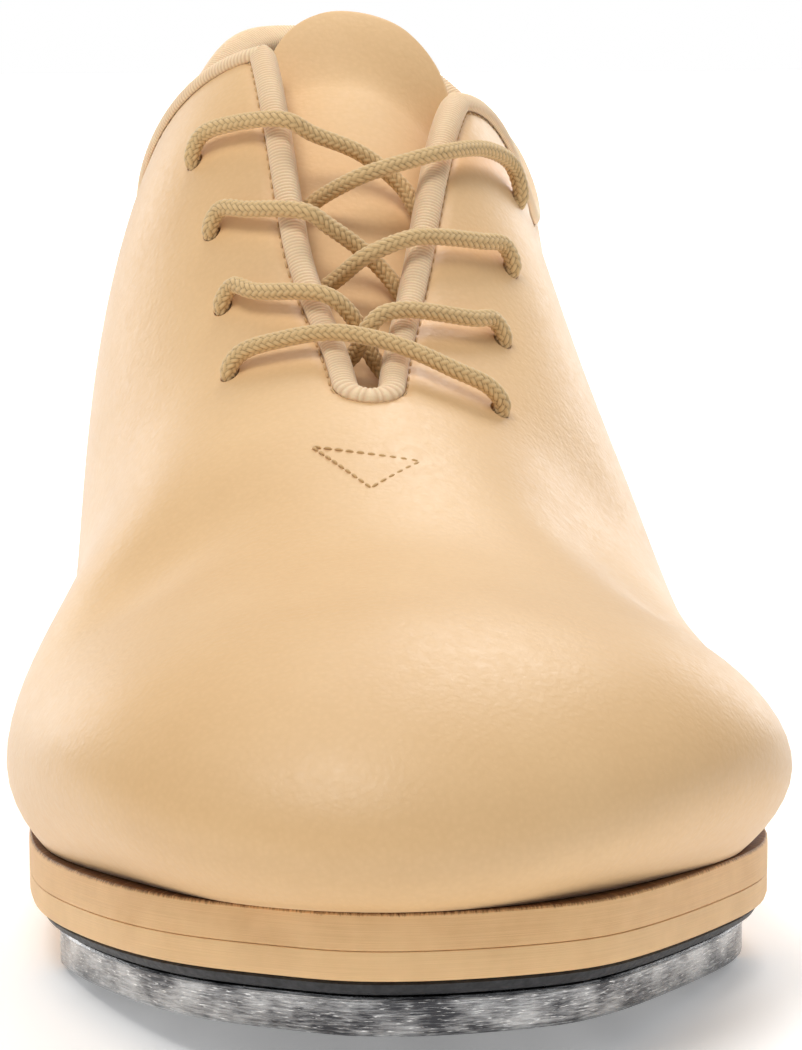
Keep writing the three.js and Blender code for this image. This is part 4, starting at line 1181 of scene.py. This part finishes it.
# Section of the folded tape: distance from the leather's edge into the leather, and height over the skin.
BINDING_OUTSIDE = [
    (2.5, 0.0), (2.46, 0.3), (2.3, 0.58), (2.0, 0.8), (1.6, 0.95), (1.1, 1.02), (0.6, 0.98),
    (0.1, 0.82), (-0.35, 0.5), (-0.68, 0.05), (-0.86, -0.5), (-0.9, -1.2), (-0.84, -1.95), (-0.62, -2.6),
    (-0.1, -3.1), (0.7, -3.35), (1.6, -3.4), (2.3, -3.25), (2.6, -3.0),
]
BINDING_INSIDE = [
    (2.5, -2.85), (1.2, -2.85), (-0.15, -2.7), (-0.25, -1.2), (-0.1, 0.06), (1.2, 0.06), (2.2, 0.03),
]


def opening_edge():
    """The closed edge of the opening, from the heel over the medial side, the slit and the lateral side."""
    keep = ~ON_RIDGE
    keep[np.argmax(ON_RIDGE)] = True
    return SKIN[:-1, -1][keep[:-1]]


def edge_frames(step):
    edge = opening_edge()
    even = resample(np.vstack([edge, edge[:1]]), step)[:-1]
    for _ in range(3):
        even = (np.roll(even, 1, 0) + 2 * even + np.roll(even, -1, 0)) / 4
    even = onto_skin(even)
    tangent = unit(np.roll(even, -1, 0) - np.roll(even, 1, 0))
    normal = skin_normal(even)
    return even, normal, unit(np.cross(tangent, normal))


def beside_edge(edge, normal, into, distance, height):
    """Points at a distance from the edge over the leather, at a height over the skin."""
    if distance <= 0:
        return edge + into * distance + normal * height
    at = onto_skin(edge + into * distance)
    return at + skin_normal(at) * height


def add_binding():
    edge, normal, into = edge_frames(RIB_PITCH / RIB_SAMPLES)
    count = len(edge)
    ribs = round(count / RIB_SAMPLES)
    wave = np.cos(2 * np.pi * ribs * np.arange(count) / count)
    room = stiffener_room(edge[:, 1])
    rows = []
    for distance, height in BINDING_OUTSIDE + BINDING_INSIDE:
        is_outside = (distance, height) in BINDING_OUTSIDE
        row = beside_edge(edge, normal, into, distance, 0.0)
        rib = wave * (RIB_DEPTH if is_outside else 0)
        lift = height - room * np.clip((-height - 1) / 1.5, 0, 1)
        if distance <= 0:
            outward = unit(np.array([distance - 1.0, height + 1.2]))
            row = row + into * (rib * outward[0])[:, None] + normal * (lift + rib * outward[1])[:, None]
        else:
            sign = 1 if height > -1 else -1
            row = row + skin_normal(row) * (lift + sign * rib)[:, None]
        rows.append(row)
    faces = grid_faces(count, len(rows), closed=True, ring=True)
    binding = mesh_object("knit_binding", np.stack(rows, 1).reshape(-1, 3), faces)
    # The rib attribute carries painted shade into the knit's colour: dark in the grooves between the ribs,
    # light on their crowns.
    add_attribute(binding, "rib", np.repeat(0.5 + 0.5 * wave, len(rows)))
    weld(binding, 0)
    place(binding, "binding_knit", "topline_binding")


def add_stitches(name, starts, ends, radius, arch):
    """One short thread loop from each start to each end, standing on the skin."""
    normals = skin_normal(starts)[:, None, None]
    along = (ends - starts)[:, None, None]
    across = np.cross(normals, unit(along))
    share = np.linspace(0, 1, 7)[:, None, None]
    bow = np.sin(np.pi * share).clip(0)
    centre = starts[:, None, None] + along * share + normals * (arch * bow**0.6 - 0.1)
    ring = circle(THREAD_SIDES, across, normals)
    stitches = tubes(name, centre + ring * (radius * (0.55 + 0.45 * bow**0.5)))
    weld(stitches, 0)
    add_attribute(stitches, "strand", np.full(len(stitches.data.vertices), THREAD_TONE))
    place(stitches, "seam_thread", slot="lace_cord")


THREAD_SIDES = 6
THREAD_TONE = 0.7
STITCH_PITCH = 1.9
STITCH_STEPS = 8
STITCH_SPAN = 5
STITCH_LINE = (2.75, -0.14)


def add_binding_stitches():
    line = beside_edge(*edge_frames(STITCH_PITCH / STITCH_STEPS), *STITCH_LINE)
    ends = np.roll(line, -STITCH_SPAN, 0)
    add_stitches("binding_stitches", line[::STITCH_STEPS], ends[::STITCH_STEPS], 0.15, 0.1)


TRIANGLE = [(-6.1, 82.9), (7.3, 79.4), (0.8, 72.8)]
TRIANGLE_SAG = 0.9
TRIANGLE_PITCH = 1.35
TRIANGLE_STITCH = (0.1, 0.86)


def add_stay_stitches():
    """The sewn triangle that holds the tongue's front end, below the slit."""
    corners = np.array(TRIANGLE, float)
    starts, ends = [], []
    for i in range(3):
        a, b = corners[i], corners[(i + 1) % 3]
        count = max(int(np.linalg.norm(b - a) / TRIANGLE_PITCH), 3)
        t = np.linspace(0, 1, count + 1)
        line = lerp(a, b, t[:, None])
        if i == 0:
            line[:, 1] -= TRIANGLE_SAG * np.sin(np.pi * t)
        surface = last_top(line[:, 0], line[:, 1])
        starts += list(lerp(surface[:-1], surface[1:], TRIANGLE_STITCH[0]))
        ends += list(lerp(surface[:-1], surface[1:], TRIANGLE_STITCH[1]))
    add_stitches("stay_stitches", np.array(starts), np.array(ends), 0.2, 0.16)


# ---- Tongue ----
TONGUE_FROM = 79
TONGUE_TO = 168
TONGUE_DEPTH = 7.2
TONGUE_SEWN = (80, 0.6)
TONGUE_DROP = 18
TONGUE_LIFT = (154, 7.4, 18)
TONGUE_RIM = 0.8
TONGUE_LEATHER = 1.2
TONGUE_LINING = 0.8
tongue_half = rounded_spline(
    [TONGUE_FROM - 22, 79, 95, 120, 142, 156, 164, TONGUE_TO], [0, 11, 17.5, 20.5, 20.5, 19, 14.5, 0]
)


def tongue_depth(along):
    """Depth under the skin: close under the lining where it is sewn, and raised at its free top."""
    sewn_at, slack = TONGUE_SEWN
    lift_from, rise, lift_over = TONGUE_LIFT
    sewn = float(inner_depth(float(sewn_at))) + slack
    dropped = lerp(sewn, TONGUE_DEPTH, smooth((along - sewn_at) / TONGUE_DROP))
    return dropped - rise * smooth((along - lift_from) / lift_over)


def tongue_sheet(name, depth, thickness, trim):
    steps, across = 90, 40
    t = np.linspace(0, 1, steps + 1)
    along = lerp(TONGUE_FROM + trim, TONGUE_TO - trim, np.sin(np.pi / 2 * t))
    half = np.maximum(tongue_half(along + trim * t) - trim, 0.02)
    u = np.linspace(-1, 1, across + 1)
    x = throat_middle(along)[:, None] + half[:, None] * u[None, :]
    place_along = np.repeat(along[:, None], across + 1, 1)
    skin = last_top(x, place_along)
    normal = skin_normal(skin)
    rim = np.minimum(1 - np.abs(u)[None, :], 1.0) * half[:, None]
    rim = np.minimum(rim, (TONGUE_TO - trim - along)[:, None] * 0.8 + 0.01)
    thin = np.sqrt(np.clip(1 - (1 - np.clip(rim / TONGUE_RIM, 0, 1)) ** 2, 0.05, 1))
    top = tongue_depth(place_along) + depth
    middle = top + thickness / 2
    outer = skin - normal * (middle - thickness / 2 * thin)[..., None]
    inner = skin - normal * (middle + thickness / 2 * thin)[..., None]
    return shell(name, outer, inner)


def add_tongue():
    tongue = tongue_sheet("tongue_leather", 0, TONGUE_LEATHER, 0)
    place(tongue, "tongue_leather", "tongue", slot="tan_leather", body="tongue")
    lining = tongue_sheet("tongue_cloth", TONGUE_LEATHER + GAP, TONGUE_LINING, 1)
    place(lining, "lining_cloth", "tongue_lining", body="tongue")


# ---- Sole unit ----
OUTSOLE_TOP = MIDSOLE_TOP - MIDSOLE - GAP
BOARD_TOP = OUTSOLE_TOP - OUTSOLE - GAP
TAP_TOP = BOARD_TOP - TAP_BOARD - GAP
HEEL_INSET = 0.8
HEEL_TAPER = 0.7
LIFT_HEIGHT = 3.6
HEEL_LIFTS = 3
BOARD_LEVEL = TAP + GAP + TAP_BOARD
FEATHER_LAP = 0.22
PLATE_POINTS = 150
CLEAR = 9


def sole_sides():
    """The sole's outline as two runs of plan points from toe tip to heel tip, with outward normals."""
    t = np.linspace(0, 1, 1600)
    along = lerp(SOLE_ALONG[0], SOLE_ALONG[-1], (1 - np.cos(np.pi * t)) / 2)
    half = sole_half(along)
    middle = sole_middle(along)
    left = np.stack([middle - half, along], -1)
    right = np.stack([middle + half, along], -1)
    loop = np.vstack([left, right[-2:0:-1]])
    tangent = unit(np.roll(loop, -1, 0) - np.roll(loop, 1, 0))
    normal = np.stack([-tangent[:, 1], tangent[:, 0]], -1)
    count = len(left)
    left_normal = normal[:count]
    right_normal = np.vstack([normal[:1], normal[count:][::-1], normal[count - 1 : count]])
    return (left, left_normal), (right, right_normal)


SOLE_SIDES = sole_sides()


def edge_run(side, inset, start, end):
    """Plan points of the inset outline on one side, between two places along, closer at both ends."""
    points, normals = SOLE_SIDES[side]
    moved = points - normals * inset
    moved = moved[(moved[:, 1] >= start) & (moved[:, 1] <= end)]
    share = (1 - np.cos(np.pi * np.linspace(0, 1, PLATE_POINTS))) / 2
    return at_lengths(moved, share * running_length(moved)[-1])


def plate(name, rows):
    """A plate of the sole from its profile rows (inset, start, end, height function), top to bottom."""
    loops = []
    for *edge, height in rows:
        plan = np.vstack([edge_run(0, *edge), edge_run(1, *edge)[::-1]])
        loops.append(np.column_stack([plan, height(plan[:, 1]) * np.ones(len(plan))]))
    grid = np.stack(loops, 1)
    count, levels = grid.shape[:2]
    faces = grid_faces(count, levels, closed=True)
    for i in range(PLATE_POINTS - 1):
        a, b, c, d = (k * levels for k in (i, i + 1, count - 2 - i, count - 1 - i))
        faces.append([a, b, c, d])
        faces.append([k + levels - 1 for k in (a, d, c, b)])
    run = running_length(grid[:, 0, :2])
    run[PLATE_POINTS:] -= run[-1]
    level = grid[:, :, 2] - feather_height(grid[:, :, 1])
    uv = np.stack([np.repeat(run[:, None], levels, 1), level], -1).reshape(-1, 2)
    obj = mesh_object(name, grid.reshape(-1, 3), faces, uv)
    weld(obj, 1e-6)
    obj.data.set_sharp_from_angle(angle=math.radians(SHARP_PLATE))
    return obj


def over_feather(offset):
    return lambda along: feather_height(along) + offset


def flat_at(height):
    return lambda along: height


def whole_plate(name, table):
    """A plate under the whole shoe, from (inset, height over the feather) rows."""
    start, end = SOLE_ALONG[0] - CLEAR, SOLE_ALONG[-1] + CLEAR
    return plate(name, [(inset, start, end, over_feather(offset)) for inset, offset in table])


def toe_plate(name, table):
    """A plate under the toe, from (inset, end, height function) rows."""
    return plate(name, [(inset, SOLE_ALONG[0] - CLEAR, end, height) for inset, end, height in table])


def heel_plate(name, table):
    """A plate of the heel, from (layers down from the top, extra inset, height function) rows."""
    rows = []
    for down, extra, height in table:
        inset = HEEL_INSET + HEEL_TAPER * down + extra
        rows.append((inset, HEEL_BREAST + down + extra, SOLE_ALONG[-1] + CLEAR, height))
    return plate(name, rows)


def add_sole():
    top = MIDSOLE_TOP + FEATHER_LAP
    split = MIDSOLE_TOP - MIDSOLE - GAP / 2
    bottom = OUTSOLE_TOP - OUTSOLE
    crown = [(0.9, top), (0.3, top - 0.05), (0.06, top - 0.35), (0, top - 1.2)]
    foot = [(0, split + 0.3), (0.02, split + 0.1), (0.12, split + 0.02), (0.6, split)]
    place(whole_plate("midsole_edge", crown + foot), "sole_leather", "midsole")
    crown = [(0.6, split - 0.02), (0.12, split - 0.04), (0.02, split - 0.12), (0, split - 0.4)]
    foot = [(0.02, bottom + 0.9), (0.2, bottom + 0.35), (0.6, bottom + 0.06), (1.2, bottom)]
    outsole = whole_plate("outsole_edge", crown + foot)
    place(outsole, "outsole_leather", "outsole", slot="sole_leather")


def toe_tap_floor(along):
    return TOE_SPRING * (TOE_TAP_END - along)


def add_toe_unit():
    end = TOE_TAP_END + 1
    low = BOARD_TOP - TAP_BOARD
    profile = [
        (1.3, end - 0.3, BOARD_TOP + 0.2),
        (1.0, end, BOARD_TOP - 0.1),
        (1.5, end, low + 0.5),
        (2.1, end, low + 0.1),
        (2.6, end - 0.3, low - 0.1),
    ]
    board = toe_plate("toe_board", [(inset, stop, over_feather(z)) for inset, stop, z in profile])
    place(board, "black_board", "toe_tap_board")

    def between(share):
        return lambda along: lerp(feather_height(along) + TAP_TOP, toe_tap_floor(along), share)

    profile = [
        (3.4, 0.4, 0),
        (2.95, 0, 0.03),
        (2.8, 0, 0.09),
        (3.0, 0, 0.15),
        (3.0, 0, 0.84),
        (3.12, 0.1, 0.93),
        (3.5, 0.5, 1),
    ]
    table = [(inset, TOE_TAP_END - short, between(share)) for inset, short, share in profile]
    place(toe_plate("toe_tap_plate", table), "tap_metal", "toe_tap")


def add_heel_unit():
    sole = OUTSOLE_TOP - OUTSOLE
    for i in range(1, HEEL_LIFTS + 1):
        low = BOARD_LEVEL + GAP / 2 + (HEEL_LIFTS - i) * (LIFT_HEIGHT + GAP)
        high = low + LIFT_HEIGHT + GAP - 0.06
        top = over_feather(sole - 0.05) if i == 1 else flat_at(high)
        under = over_feather(sole - 0.3) if i == 1 else flat_at(high - 0.25)
        table = [(i - 1, 0.3, top), (i - 1, 0, under), (i, 0, flat_at(low + 0.25)), (i, 0.3, flat_at(low))]
        place(heel_plate(f"heel_layer_{i}", table), "heel_leather", f"heel_lift_{i}")
    table = [
        (3, 0.3, flat_at(BOARD_LEVEL + 0.1)),
        (3, 0, flat_at(BOARD_LEVEL - 0.15)),
        (3.4, 0, flat_at(TAP + GAP + 0.15)),
        (3.4, 0.3, flat_at(TAP + 0.05)),
    ]
    place(heel_plate("heel_board", table), "black_board", "heel_tap_board")
    profile = [(0.4, TAP), (0, TAP - 0.3), (0, 0.6), (0.5, 0)]
    table = [(4.4, extra, flat_at(height)) for extra, height in profile]
    place(heel_plate("heel_tap_plate", table), "tap_metal", "heel_tap")


def dress_cad_nodes():
    """The CAD nodes that stay get their slot's material."""
    slots = {part["node"]: part["material_slot"] for part in frame["record"]["subparts"]}
    for name, obj in frame["nodes"].items():
        obj.data.materials.clear()
        obj.data.materials.append(MATERIALS[slots[name]])


dress_cad_nodes()
add_camera()
add_laces()
add_studio()
add_upper()
add_binding()
add_binding_stitches()
add_stay_stitches()
add_tongue()
add_sole()
add_toe_unit()
add_heel_unit()
